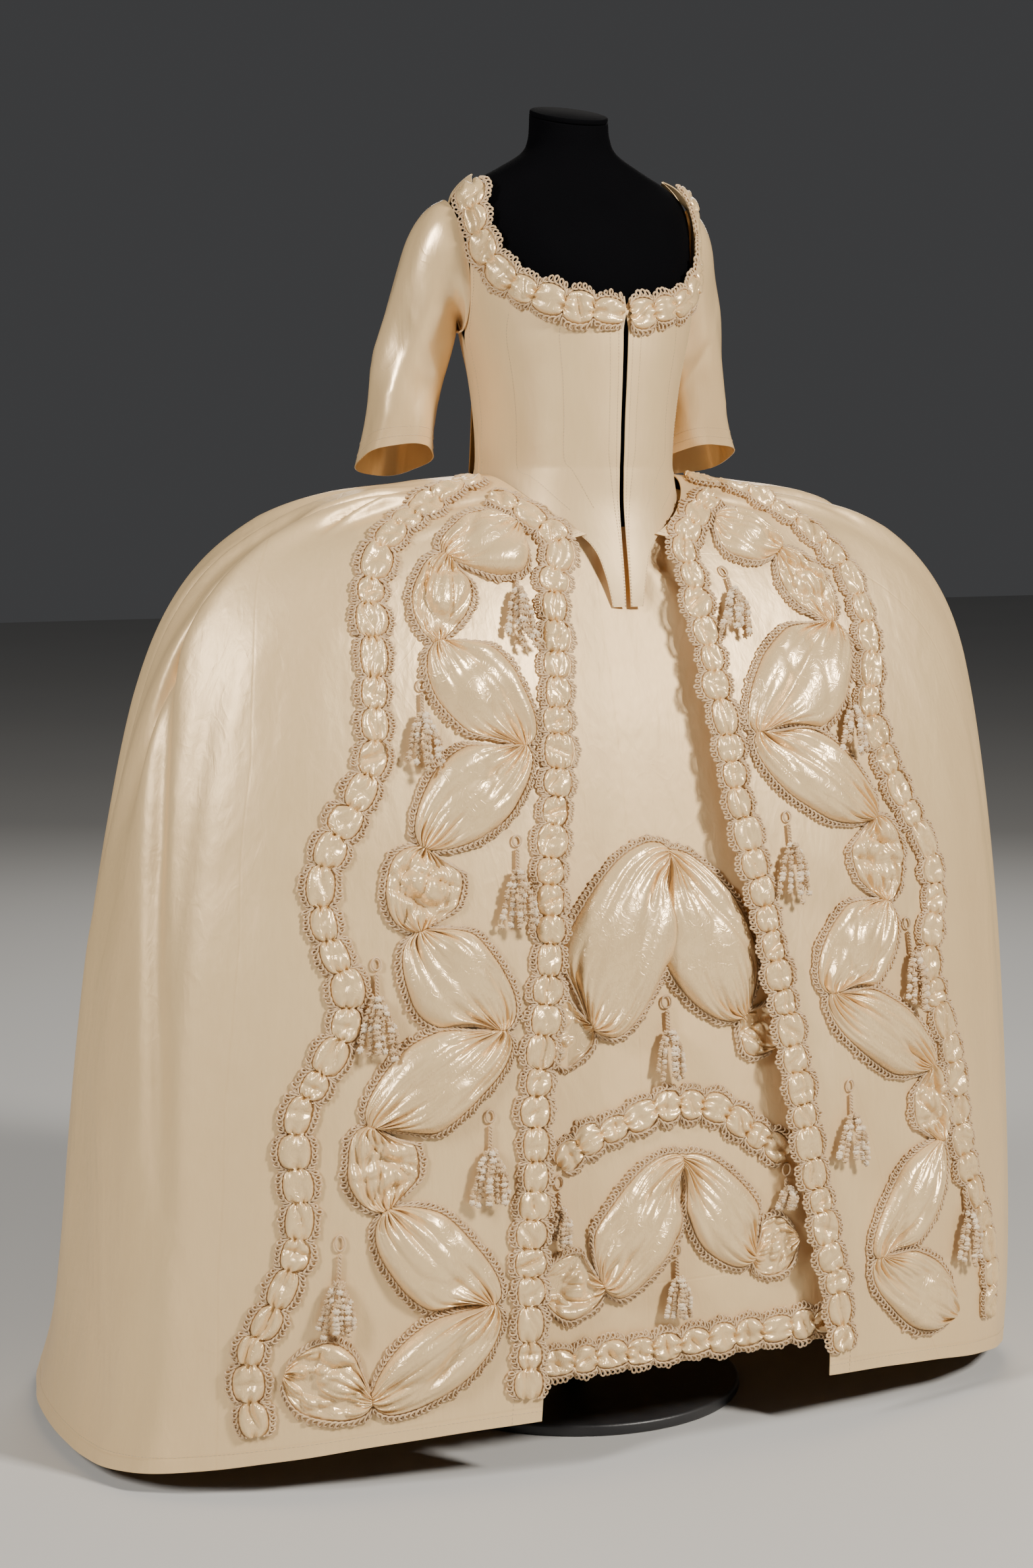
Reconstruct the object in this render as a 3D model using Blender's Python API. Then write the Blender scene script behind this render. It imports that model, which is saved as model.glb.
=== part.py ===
"""Robe a la francaise in cream satin, on the limbless dress form that it stands on.

Frame: metres, +Z up. The wearer looks along -Y, so +X is the wearer's left. The origin is under the
middle of the stand's base, on the floor. A turn is measured round the body in degrees, 0 at the centre
front and positive towards the wearer's left. A drop runs down a skirt, 0 at the waist and 1 at the hem.
"""

from collections import namedtuple
from itertools import chain
from math import asin, copysign, cos, degrees, exp, pi, radians, sin

import bmesh
import bpy
import numpy as np
from mathutils import Matrix, Vector
from mathutils.bvhtree import BVHTree

# Cloth and the gaps between pieces
WALL = 0.002
SEAM_GAP = 0.0003
SACK_GAP = 0.0006
PUFF_EXTRA_LIFT = 0.0003
ROBE_LIFT = 0.0013
PETTICOAT_LIFT = 0.0006
BODICE_LIFT = 0.0012
TASSEL_LIFT = 0.0007

# Dress form and stand
FORM_LEAN = 0.018
CAP_THICK = 0.004
CAP_SLANT = 16.0
POLE_RADIUS = 0.016
BASE_RADIUS = 0.200
BASE_THICK = 0.014
FORM_SIDES = 24

# Robe
BACK_SEAM_TURN = 128.0
EDGE_INSET = 0.018
SKIRT_ROWS = 15
SKIRT_COLUMNS = 21
PETTICOAT_ROWS = 10
PETTICOAT_SIDES = 30
SACK_UPPER_ROWS = 4
WAIST_FALL = 0.24
BODICE_EASE = 0.0060
TAB_TOP = 1.100
TAB_TIP = 0.945
TAB_RIDE = 0.027
SHOULDER = 1.360
SHOULDER_TOP = 1.422
SHOULDER_RIDE = 0.0025
BODICE_COLUMNS = 7
SLEEVE_SIDES = 16

# Trimmings
BAND_WIDTH = 0.033
BAND_LOFT = 0.011
BAND_PINCH = 0.60
BAND_PINCH_LOFT = 0.35
BAND_STEPS = 3
KNOT_HALF = 0.010
KNOT_LOFT = 0.009
KNOT_OPENING = 1.15
STRANDS = 5
TASSEL_STEM = 0.30
TASSEL_DEPTH = 0.55
TASSEL_HEAD, TASSEL_TOP = 0.45, 0.0025
TASSEL_STEPS = ((0.400, 1.84), (0.175, 0.68))
STRAND_LONG, STRAND_SHORT = 0.442, 0.340
SEAT_ABOVE, SEAT_REACH = 0.05, 0.12

SATIN = ("cream_satin", (0.78, 0.64, 0.44), 0.36, 0.0)
LINING = ("sleeve_satin", (0.80, 0.67, 0.48), 0.30, 0.0)
BRAID = ("fly_fringe", (0.66, 0.52, 0.35), 0.85, 0.0)
FORM_CLOTH = ("black_jersey", (0.006, 0.006, 0.008), 0.90, 0.0)
IRON = ("black_iron", (0.020, 0.020, 0.022), 0.45, 1.0)

Ring = namedtuple("Ring", "front_z side_z back_z right left front back square")
Body = namedtuple("Body", "height half front back square")
Fold = namedtuple("Fold", "side turn_top drop_top turn_end drop_end spread depth")
SackRow = namedtuple("SackRow", "height half back bow")
Pleat = namedtuple("Pleat", "reach lift")
FrontRow = namedtuple("FrontRow", "inner_turn inner_height outer_turn outer_height")
BackRow = namedtuple("BackRow", "edge_turn edge_height strap_turn strap_height centre_height")
SleeveRow = namedtuple("SleeveRow", "across back height long deep lean dip saddle")
Knot = namedtuple("Knot", "across height left right loft")
Tassel = namedtuple("Tassel", "name across height end_across end_height half")
TrackRow = namedtuple("TrackRow", "turn drop")

ROBE_RINGS = [
    Ring(1.016, 1.091, 1.087, 0.119, 0.119, 0.1250, 0.131, 2.2),
    Ring(1.006, 1.080, 1.066, 0.200, 0.200, 0.128, 0.142, 2.3),
    Ring(0.975, 1.066, 1.040, 0.300, 0.300, 0.142, 0.154, 2.4),
    Ring(0.945, 1.042, 1.008, 0.370, 0.370, 0.155, 0.167, 2.5),
    Ring(0.905, 0.995, 0.962, 0.440, 0.435, 0.170, 0.182, 2.6),
    Ring(0.850, 0.930, 0.900, 0.490, 0.482, 0.190, 0.202, 2.6),
    Ring(0.780, 0.840, 0.815, 0.525, 0.512, 0.208, 0.228, 2.6),
    Ring(0.680, 0.715, 0.700, 0.553, 0.535, 0.228, 0.264, 2.6),
    Ring(0.540, 0.555, 0.550, 0.578, 0.552, 0.248, 0.312, 2.6),
    Ring(0.380, 0.380, 0.380, 0.595, 0.562, 0.265, 0.370, 2.6),
    Ring(0.220, 0.210, 0.200, 0.605, 0.567, 0.278, 0.434, 2.6),
    Ring(0.120, 0.095, 0.080, 0.613, 0.566, 0.284, 0.490, 2.6),
    Ring(0.067, 0.014, 0.003, 0.628, 0.560, 0.287, 0.540, 2.6),
]

PETTICOAT_RINGS = [
    Ring(1.032, 1.077, 1.072, 0.1130, 0.1130, 0.1110, 0.0980, 2.2),
    Ring(0.996, 1.059, 1.046, 0.184, 0.184, 0.114, 0.112, 2.3),
    Ring(0.966, 1.046, 1.020, 0.284, 0.284, 0.124, 0.128, 2.4),
    Ring(0.936, 1.020, 0.988, 0.352, 0.350, 0.134, 0.142, 2.5),
    Ring(0.896, 0.972, 0.940, 0.418, 0.412, 0.147, 0.158, 2.6),
    Ring(0.845, 0.912, 0.880, 0.465, 0.457, 0.166, 0.180, 2.6),
    Ring(0.780, 0.832, 0.800, 0.502, 0.490, 0.184, 0.205, 2.6),
    Ring(0.680, 0.710, 0.690, 0.530, 0.513, 0.204, 0.235, 2.6),
    Ring(0.540, 0.552, 0.540, 0.555, 0.530, 0.224, 0.272, 2.6),
    Ring(0.380, 0.382, 0.380, 0.570, 0.540, 0.241, 0.308, 2.6),
    Ring(0.220, 0.220, 0.220, 0.580, 0.545, 0.254, 0.338, 2.6),
    Ring(0.100, 0.100, 0.100, 0.584, 0.545, 0.261, 0.356, 2.6),
]

# Troughs have a negative depth and ridges a positive one
ROBE_FOLDS = [
    Fold(-1, 84, 0.13, 100, 0.66, 6.0, -0.020),
    Fold(-1, 76, 0.16, 88, 0.80, 7.0, 0.009),
    Fold(-1, 112, 0.10, 118, 0.90, 6.5, 0.014),
    Fold(-1, 64, 0.08, 72, 0.34, 5.0, -0.006),
    Fold(1, 82, 0.13, 98, 0.62, 6.0, -0.016),
    Fold(1, 72, 0.16, 84, 0.78, 7.0, 0.008),
    Fold(1, 112, 0.10, 116, 0.92, 6.5, 0.013),
    Fold(1, 62, 0.08, 66, 0.36, 5.0, -0.005),
    Fold(-1, 142, 0.34, 146, 1.05, 6.0, 0.012),
    Fold(1, 144, 0.34, 146, 1.05, 6.0, 0.012),
]

BODY = [
    Body(0.900, 0.1, 0.118, 0.08, 2.2),
    Body(0.960, 0.106, 0.122, 0.082, 2.2),
    Body(1.020, 0.108, 0.122, 0.076, 2.2),
    Body(1.060, 0.108, 0.1235, 0.0715, 2.2),
    Body(1.100, 0.108, 0.1295, 0.07, 2.2),
    Body(1.150, 0.1095, 0.133, 0.07, 2.2),
    Body(1.200, 0.116, 0.137, 0.072, 2.2),
    Body(1.250, 0.128, 0.139, 0.074, 2.2),
    Body(1.300, 0.137, 0.137, 0.074, 2.2),
    Body(1.340, 0.141, 0.126, 0.07, 2.2),
    Body(1.380, 0.145, 0.1, 0.056, 2.2),
    Body(1.405, 0.14, 0.073, 0.046, 2.2),
    Body(1.422, 0.122, 0.058, 0.043, 2.1),
    Body(1.440, 0.088, 0.05, 0.043, 2.1),
    Body(1.458, 0.058, 0.046, 0.044, 2.0),
    Body(1.475, 0.048, 0.045, 0.045, 2.0),
    Body(1.498, 0.046, 0.044, 0.045, 2.0),
]

# Half of the front, from the tip of the tab up to the shoulder seam
FRONT_ROWS = [
    FrontRow(1.0, 0.945, 7.0, 0.945),
    FrontRow(1.0, 0.975, 9.5, 0.975),
    FrontRow(1.0, 1.005, 14.0, 1.005),
    FrontRow(1.0, 1.030, 22.5, 1.034),
    FrontRow(1.0, 1.058, 40.0, 1.058),
    FrontRow(1.0, 1.088, 62.0, 1.080),
    FrontRow(1.0, 1.105, 77.0, 1.091),
    FrontRow(1.0, 1.122, 91.0, 1.098),
    FrontRow(1.0, 1.165, 91.0, 1.150),
    FrontRow(1.0, 1.210, 91.0, 1.200),
    FrontRow(1.0, 1.250, 90.0, 1.245),
    FrontRow(1.0, 1.284, 84.0, 1.275),
    FrontRow(15.6, 1.290, 78.0, 1.310),
    FrontRow(38.0, 1.307, 76.0, 1.345),
    FrontRow(54.0, 1.328, 77.0, 1.370),
    FrontRow(62.5, 1.352, 80.0, 1.388),
    FrontRow(66.5, 1.385, 84.0, 1.398),
    FrontRow(72.0, 1.411, 87.0, 1.402),
    FrontRow(89.5, 1.424, 89.5, 1.404),
]

# The back, from the waist up to the shoulder seams, as edge, strap and centre back
BACK_ROWS = [
    BackRow(91.3, 1.098, 112, 1.098, 1.098),
    BackRow(91.3, 1.150, 112, 1.150, 1.150),
    BackRow(91.3, 1.200, 112, 1.200, 1.205),
    BackRow(92.0, 1.245, 114, 1.250, 1.260),
    BackRow(104.0, 1.285, 120, 1.290, 1.305),
    BackRow(108.0, 1.325, 124, 1.330, 1.345),
    BackRow(105.0, 1.360, 124, 1.370, 1.372),
    BackRow(98.0, 1.386, 118, 1.400, 1.386),
    BackRow(94.0, 1.397, 105, 1.415, 1.392),
    BackRow(90.5, 1.404, 90.5, 1.424, 1.396),
]

# The loose back above the waist: its own line from the neck to the hips
SACK_ROWS = [
    SackRow(1.398, 0.074, 0.0800, 0.008),
    SackRow(1.360, 0.078, 0.0975, 0.010),
    SackRow(1.300, 0.082, 0.1110, 0.017),
    SackRow(1.200, 0.088, 0.1200, 0.025),
    SackRow(1.130, 0.093, 0.1260, 0.036),
    SackRow(1.090, 0.098, 0.1300, 0.046),
]

# Two double box pleats: the height of the cloth at each reach from the centre back to the edge
PLEATS = [
    Pleat(0.00, 0.000),
    Pleat(0.05, 0.000),
    Pleat(0.08, 0.010),
    Pleat(0.24, 0.011),
    Pleat(0.40, 0.010),
    Pleat(0.43, 0.005),
    Pleat(0.57, 0.0055),
    Pleat(0.71, 0.005),
    Pleat(0.74, 0.000),
    Pleat(0.88, 0.001),
    Pleat(1.00, 0.000),
]

SLEEVE_ROWS = [
    SleeveRow(0.1486, 0.019, 1.327, 0.0745, 0.0370, 8, 0, 0.0048),
    SleeveRow(0.1572, 0.027, 1.320, 0.0700, 0.0420, 17, 0, 0.002),
    SleeveRow(0.1670, 0.042, 1.301, 0.0490, 0.0440, 42, 0, 0.0),
    SleeveRow(0.1750, 0.052, 1.262, 0.0430, 0.0430, 68, 2, 0.0),
    SleeveRow(0.1830, 0.060, 1.213, 0.0420, 0.0415, 80, 6, 0.0),
    SleeveRow(0.1910, 0.065, 1.160, 0.0430, 0.0430, 86, 14, 0.0),
    SleeveRow(0.1990, 0.068, 1.107, 0.0455, 0.0455, 88, 24, 0.0),
]

# Routes of the narrow puffed bands, as across and height on the cloth that they lie on
WAIST_RIGHT = [(-0.144, 1.066), (-0.124, 1.056), (-0.106, 1.043), (-0.092, 1.029)]
WAIST_LEFT = [(0.144, 1.066), (0.124, 1.056), (0.106, 1.042), (0.089, 1.027)]
EDGE_RIGHT = [
    (-0.082, 1.020), (-0.085, 1.000), (-0.107, 0.923), (-0.120, 0.839), (-0.128, 0.755), (-0.145, 0.669),
    (-0.151, 0.585), (-0.163, 0.502), (-0.176, 0.421), (-0.181, 0.338), (-0.190, 0.248), (-0.194, 0.162),
    (-0.197, 0.092),
]
EDGE_LEFT = [
    (0.078, 1.020), (0.074, 1.000), (0.076, 0.950), (0.082, 0.875), (0.088, 0.804), (0.094, 0.735),
    (0.106, 0.668), (0.120, 0.607), (0.133, 0.533), (0.145, 0.461), (0.157, 0.388), (0.169, 0.313),
    (0.182, 0.240), (0.198, 0.167), (0.208, 0.090),
]
OUTER_RIGHT = [
    (-0.138, 1.085), (-0.183, 1.073), (-0.230, 1.054), (-0.267, 1.032), (-0.294, 1.007), (-0.311, 0.975),
    (-0.319, 0.935), (-0.323, 0.890), (-0.328, 0.840), (-0.334, 0.790), (-0.358, 0.740), (-0.387, 0.695),
    (-0.399, 0.650), (-0.394, 0.600), (-0.379, 0.553), (-0.382, 0.505), (-0.408, 0.460), (-0.433, 0.413),
    (-0.438, 0.363), (-0.436, 0.311), (-0.445, 0.258), (-0.465, 0.208), (-0.486, 0.165), (-0.490, 0.120),
    (-0.487, 0.070),
]
OUTER_LEFT = [
    (0.130, 1.086), (0.165, 1.078), (0.205, 1.066), (0.240, 1.042), (0.268, 1.014), (0.290, 0.985),
    (0.301, 0.945), (0.304, 0.890), (0.296, 0.848), (0.293, 0.810), (0.306, 0.768), (0.327, 0.720),
    (0.350, 0.678), (0.368, 0.637), (0.370, 0.592), (0.360, 0.550), (0.357, 0.510), (0.371, 0.464),
    (0.386, 0.422), (0.394, 0.385), (0.398, 0.338), (0.405, 0.290), (0.425, 0.235), (0.447, 0.180),
    (0.455, 0.125), (0.452, 0.080),
]
ARCH = [
    (-0.140, 0.335), (-0.124, 0.349), (-0.098, 0.363), (-0.069, 0.372), (-0.036, 0.383), (0.000, 0.391),
    (0.040, 0.386), (0.072, 0.374), (0.098, 0.354), (0.126, 0.336), (0.146, 0.316),
]
HEM_BAND = [(-0.205, 0.119), (-0.110, 0.118), (0.000, 0.119), (0.110, 0.120), (0.215, 0.121)]
NECKLINE = [
    (0.004, 1.270), (0.034, 1.2735), (0.070, 1.280), (0.100, 1.294), (0.122, 1.315), (0.1335, 1.342),
    (0.1395, 1.372), (0.1385, 1.401),
]
EDGE_PUFFS, OUTER_PUFFS, ARCH_PUFFS, HEM_PUFFS, NECK_PUFFS = 32, 32, 10, 12, 8

# Wide gathered festoons: a row for each knot, with the puff that starts there
FESTOON_RIGHT = [
    Knot(-0.128, 1.034, 0.046, 0.034, 0.026),
    Knot(-0.220, 1.000, 0.036, 0.027, 0.020),
    Knot(-0.247, 0.911, 0.052, 0.038, 0.026),
    Knot(-0.167, 0.798, 0.043, 0.045, 0.030),
    Knot(-0.286, 0.693, 0.042, 0.042, 0.022),
    Knot(-0.297, 0.606, 0.047, 0.054, 0.026),
    Knot(-0.215, 0.495, 0.050, 0.042, 0.030),
    Knot(-0.358, 0.399, 0.042, 0.036, 0.022),
    Knot(-0.346, 0.310, 0.042, 0.048, 0.028),
    Knot(-0.238, 0.200, 0.048, 0.028, 0.030),
    Knot(-0.369, 0.105, 0.034, 0.043, 0.020),
    Knot(-0.457, 0.138, 0.0, 0.0, 0.0),
]
FESTOON_LEFT = [
    Knot(0.127, 1.036, 0.031, 0.034, 0.026),
    Knot(0.201, 1.000, 0.026, 0.030, 0.020),
    Knot(0.250, 0.919, 0.054, 0.054, 0.028),
    Knot(0.132, 0.800, 0.040, 0.044, 0.028),
    Knot(0.280, 0.695, 0.038, 0.038, 0.022),
    Knot(0.290, 0.600, 0.048, 0.048, 0.026),
    Knot(0.206, 0.502, 0.036, 0.040, 0.026),
    Knot(0.350, 0.400, 0.026, 0.034, 0.020),
    Knot(0.361, 0.312, 0.042, 0.036, 0.026),
    Knot(0.263, 0.191, 0.035, 0.045, 0.026),
    Knot(0.381, 0.102, 0.0, 0.0, 0.0),
]
UPPER_FESTOON = [
    Knot(-0.157, 0.478, 0.036, 0.036, 0.014),
    Knot(-0.096, 0.486, 0.066, 0.052, 0.034),
    Knot(0.012, 0.668, 0.050, 0.052, 0.034),
    Knot(0.097, 0.482, 0.030, 0.030, 0.014),
    Knot(0.140, 0.446, 0.0, 0.0, 0.0),
]
LOWER_FESTOON = [
    Knot(-0.166, 0.202, 0.036, 0.034, 0.014),
    Knot(-0.094, 0.199, 0.040, 0.046, 0.026),
    Knot(0.010, 0.328, 0.040, 0.040, 0.026),
    Knot(0.100, 0.210, 0.032, 0.032, 0.014),
    Knot(0.158, 0.224, 0.0, 0.0, 0.0),
]

# A festoon's section: how far out and how high each point is, as shares of the puff's half and loft
PUFF_SECTION = [(-1.0, 0.0), (-0.84, 0.62), (-0.32, 1.0), (0.32, 1.0), (0.84, 0.62), (1.0, 0.0), (0.0, 0.0)]
BAND_SECTION = [(-1.0, 0.0), (-0.62, 1.0), (0.62, 1.0), (1.0, 0.0), (0.0, 0.0)]
PUFF_STATIONS = (0.0, 0.14, 0.36, 0.64, 0.86)

ROBE_TASSELS = [
    Tassel("tassel_right_1", -0.136, 0.985, -0.146, 0.899, 0.013),
    Tassel("tassel_right_2", -0.274, 0.860, -0.277, 0.767, 0.018),
    Tassel("tassel_right_3", -0.182, 0.692, -0.188, 0.597, 0.017),
    Tassel("tassel_right_4", -0.346, 0.567, -0.348, 0.469, 0.019),
    Tassel("tassel_right_5", -0.230, 0.398, -0.235, 0.300, 0.020),
    Tassel("tassel_right_6", -0.397, 0.269, -0.404, 0.176, 0.018),
    Tassel("tassel_left_1", 0.120, 0.975, 0.117, 0.905, 0.016),
    Tassel("tassel_left_2", 0.262, 0.843, 0.260, 0.767, 0.015),
    Tassel("tassel_left_3", 0.158, 0.700, 0.160, 0.607, 0.018),
    Tassel("tassel_left_4", 0.324, 0.565, 0.331, 0.469, 0.014),
    Tassel("tassel_left_5", 0.226, 0.389, 0.224, 0.300, 0.020),
    Tassel("tassel_left_6", 0.403, 0.256, 0.404, 0.158, 0.018),
]
PETTICOAT_TASSELS = [
    Tassel("tassel_petticoat_upper", 0.000, 0.500, 0.000, 0.416, 0.018),
    Tassel("tassel_petticoat_lower", 0.000, 0.222, 0.000, 0.145, 0.016),
    Tassel("tassel_petticoat_right", -0.142, 0.312, -0.144, 0.246, 0.013),
    Tassel("tassel_petticoat_left", 0.147, 0.296, 0.142, 0.254, 0.011),
]


def smooth(rows, place):
    """The row at a place along a table, counted in rows, on a smooth curve through all of them."""
    last = len(rows) - 1
    start = min(max(int(place), 0), last - 1)
    f = place - start
    near = [rows[min(max(start + step, 0), last)] for step in (-1, 0, 1, 2)]
    values = (
        0.5 * (2 * b + (c - a) * f + (2 * a - 5 * b + 4 * c - d) * f**2 + (3 * b - a - 3 * c + d) * f**3)
        for a, b, c, d in zip(*near)
    )
    return type(rows[0])(*values)


def smooth_at(rows, height):
    """The row at a height, in a table whose heights rise or fall steadily."""
    heights = [row.height for row in rows]
    places = range(len(rows))
    if heights[0] > heights[-1]:
        return smooth(rows, len(rows) - 1 - np.interp(height, heights[::-1], places))
    return smooth(rows, float(np.interp(height, heights, places)))


def power(value, exponent):
    return copysign(abs(value) ** exponent, value)


def oval(turn, half, front, back, square):
    """A point of a squared oval round the Z axis, and the cosine of its turn."""
    s, c = sin(radians(turn)), cos(radians(turn))
    depth = front if c > 0 else back
    return half * power(s, 2 / square), -depth * power(c, 2 / square), c


class Surface:
    """A skirt's cloth, worked out from rings that run from the waist to the hem."""

    def __init__(self, rings, folds=()):
        self.rings = rings
        self.folds = folds

    def ring(self, drop):
        return smooth(self.rings, drop * (len(self.rings) - 1))

    def bare(self, turn, drop):
        ring = self.ring(drop)
        half = ring.left if sin(radians(turn)) > 0 else ring.right
        x, y, c = oval(turn, half, ring.front, ring.back, ring.square)
        end_z = ring.front_z if c > 0 else ring.back_z
        return Vector((x, y, ring.side_z + (end_z - ring.side_z) * c * c))

    def normal(self, turn, drop):
        across = self.bare(turn + 0.5, drop) - self.bare(turn - 0.5, drop)
        down = self.bare(turn, min(drop + 0.01, 1)) - self.bare(turn, max(drop - 0.01, 0))
        return down.cross(across).normalized()

    def relief(self, turn, drop):
        total = 0.0
        for fold in self.folds:
            along = (drop - fold.drop_top) / (fold.drop_end - fold.drop_top)
            if not 0 < along < 1:
                continue
            centre = fold.turn_top + (fold.turn_end - fold.turn_top) * along
            off = (fold.side * turn - centre) / fold.spread
            total += fold.depth * min(1, 5 * along) * min(1, 2 * (1 - along)) * exp(-off * off)
        return total

    def point(self, turn, drop):
        return self.bare(turn, drop) + self.relief(turn, drop) * self.normal(turn, drop)

    def find(self, across, height):
        """The turn and the drop of the front's point that lies at this place across and this height."""
        low, high = 0.0, 1.0
        for _ in range(32):
            drop = (low + high) / 2
            ring = self.ring(drop)
            half = ring.left if across > 0 else ring.right
            share = min(abs(across) / half, 1)
            turn = copysign(degrees(asin(share ** (ring.square / 2))), across)
            if abs(across) > half or self.bare(turn, drop).z > height:
                low = drop
            else:
                high = drop
        return turn, drop


class BodySurface:
    """The bodice's cloth, a steady ease outside the dress form, with the tab riding over the petticoat."""

    def bare(self, turn, height):
        x, y, _ = oval(turn, *smooth_at(BODY, height)[1:])
        return Vector((x, y + FORM_LEAN, height))

    def normal(self, turn, height):
        across = self.bare(turn + 0.5, height) - self.bare(turn - 0.5, height)
        up = self.bare(turn, height + 0.002) - self.bare(turn, height - 0.002)
        return across.cross(up).normalized()

    def point(self, turn, height):
        ride = TAB_RIDE * max(0.0, (TAB_TOP - height) / (TAB_TOP - TAB_TIP))
        ride += SHOULDER_RIDE * min(1.0, max(0.0, (height - SHOULDER) / (SHOULDER_TOP - SHOULDER)))
        return self.bare(turn, height) + (BODICE_EASE + ride) * self.normal(turn, height)

    def find(self, across, height):
        low, high = 0.0, 90.0
        for _ in range(32):
            turn = (low + high) / 2
            if self.point(turn, height).x < abs(across):
                low = turn
            else:
                high = turn
        return copysign(turn, across), height


class Sack:
    """The loose back, which hangs from the neck and becomes the back of the skirt below the waist."""

    def __init__(self, robe):
        self.robe = robe

    def bare(self, reach, fall):
        if fall < WAIST_FALL:
            row = smooth(SACK_ROWS, fall / WAIST_FALL * (len(SACK_ROWS) - 1))
            return Vector((row.half * reach, row.back - row.bow * reach * reach, row.height))
        turn = 180 - (180 - BACK_SEAM_TURN) * reach
        return self.robe.point(turn, (fall - WAIST_FALL) / (1 - WAIST_FALL))

    def normal(self, reach, fall):
        across = self.bare(min(reach + 0.02, 1), fall) - self.bare(max(reach - 0.02, -1), fall)
        down = self.bare(reach, min(fall + 0.015, 1)) - self.bare(reach, max(fall - 0.015, 0))
        return across.cross(down).normalized()

    def point(self, reach, fall):
        lift = np.interp(abs(reach), [row.reach for row in PLEATS], [row.lift for row in PLEATS])
        opened = 1 - 0.45 * max(0.0, fall - WAIST_FALL) / (1 - WAIST_FALL)
        return self.bare(reach, fall) + float(lift) * opened * self.normal(reach, fall)


def skirt_drop(row):
    """The drop of a skirt's row of points. The rows lie closer over the hips, where the cloth turns."""
    return (row / SKIRT_ROWS) ** 1.25


class Panel:
    """A finished piece of cloth that trimmings lie on: its surface, and the facets to seat them on."""

    def __init__(self, surface, tree, lift):
        self.surface = surface
        self.tree = tree
        self.lift = lift

    def seat(self, point, normal, lift):
        """The point moved along the normal to the given lift above the cloth's facets."""
        found = self.tree.ray_cast(point + SEAT_ABOVE * normal, -normal, SEAT_REACH)[0]
        return (found or point) + lift * normal


def material(name, colour, roughness, metallic):
    made = bpy.data.materials.get(name) or bpy.data.materials.new(name)
    made.use_nodes = True
    shader = made.node_tree.nodes["Principled BSDF"]
    shader.inputs["Base Color"].default_value = (*colour, 1)
    shader.inputs["Roughness"].default_value = roughness
    shader.inputs["Metallic"].default_value = metallic
    made.diffuse_color = (*colour, 1)
    return made


def add_object(name, bm, finish):
    """Makes a named object of the mesh, shaded smooth, in the gown's collection."""
    mesh = bpy.data.meshes.new(name)
    bm.to_mesh(mesh)
    bm.free()
    mesh.materials.append(material(*finish))
    mesh.shade_smooth()
    mesh.set_sharp_from_angle(angle=radians(40))
    made = bpy.data.objects.new(name, mesh)
    bpy.data.collections["robe_a_la_francaise"].objects.link(made)
    return made


def placed_grid(rows, closed):
    """A grid whose points are put at the given places, row by row."""
    bm = bmesh.new()
    bmesh.ops.create_grid(bm, x_segments=len(rows[0]) - 1, y_segments=len(rows) - 1, size=1)
    for vert, place in zip(bm.verts, chain(*rows)):
        vert.co = place
    if closed:
        bmesh.ops.remove_doubles(bm, verts=bm.verts, dist=1e-6)
    return bm


def wall(name, rows, finish, closed=False):
    """A wall of cloth through rows of points with their outward directions. Returns its outer facets."""
    bm = placed_grid([[place for place, _ in row] for row in rows], False)
    inward = bm.verts.layers.float_vector.new("inward")
    for vert, (_, outward) in zip(bm.verts, chain(*rows)):
        vert[inward] = -WALL * outward
    if closed:
        bmesh.ops.remove_doubles(bm, verts=bm.verts, dist=1e-6)
    bmesh.ops.triangulate(bm, faces=bm.faces, quad_method="FIXED")
    tree = BVHTree.FromBMesh(bm)
    inner = bmesh.ops.extrude_face_region(bm, geom=bm.faces[:], use_keep_orig=True)["geom"]
    for vert in inner:
        if isinstance(vert, bmesh.types.BMVert):
            vert.co += vert[inward]
    bmesh.ops.recalc_face_normals(bm, faces=bm.faces)
    add_object(name, bm, finish)
    return tree


def loft(name, sections, finish):
    """A solid through closed sections of equally many points, with flat ends."""
    bm = placed_grid([[*section, section[0]] for section in sections], True)
    bmesh.ops.holes_fill(bm, edges=[edge for edge in bm.edges if edge.is_boundary], sides=0)
    bmesh.ops.recalc_face_normals(bm, faces=bm.faces)
    return add_object(name, bm, finish)


def drawn_in(row, first=SEAM_GAP / 2, last=SEAM_GAP / 2):
    """A row of cloth with its end points drawn in, to leave the gap of a seam."""
    row = list(row)
    for end, beside, gap in ((0, 1, first), (-1, -2, last)):
        place, outward = row[end]
        row[end] = (place + gap * (row[beside][0] - place).normalized(), outward)
    return row


def build_form():
    """The dress form: torso, slanted neck cap, pole and round base."""
    sections = []
    for row in BODY:
        turns = [360 * k / FORM_SIDES for k in range(FORM_SIDES)]
        places = [oval(turn, *row[1:]) for turn in turns]
        slant = sin(radians(CAP_SLANT)) if row is BODY[-1] else 0
        sections.append([Vector((x, y + FORM_LEAN, row.height + slant * y)) for x, y, _ in places])
    loft("form_torso", sections, FORM_CLOTH)
    top = sections[-1]
    gap, thick = Vector((0, 0, SEAM_GAP)), Vector((0, 0, CAP_THICK))
    middle = sum(top, Vector()) / len(top)
    rounded = [middle + 0.9 * (place - middle) for place in top]
    loft(
        "form_neck_cap",
        [[p + gap for p in top], [p + gap + thick for p in top], [p + gap + 1.5 * thick for p in rounded]],
        FORM_CLOTH,
    )
    pole_top = BODY[0].height - SEAM_GAP
    build_rod("form_pole", POLE_RADIUS, BASE_THICK + SEAM_GAP, pole_top, 16)
    build_rod("form_base", BASE_RADIUS, 0.0, BASE_THICK, 40)


def build_rod(name, radius, bottom, top, sides):
    bm = bmesh.new()
    lift = Matrix.Translation((0, 0, (bottom + top) / 2))
    bmesh.ops.create_cone(
        bm, cap_ends=True, segments=sides, radius1=radius, radius2=radius, depth=top - bottom, matrix=lift
    )
    add_object(name, bm, IRON)


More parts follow.
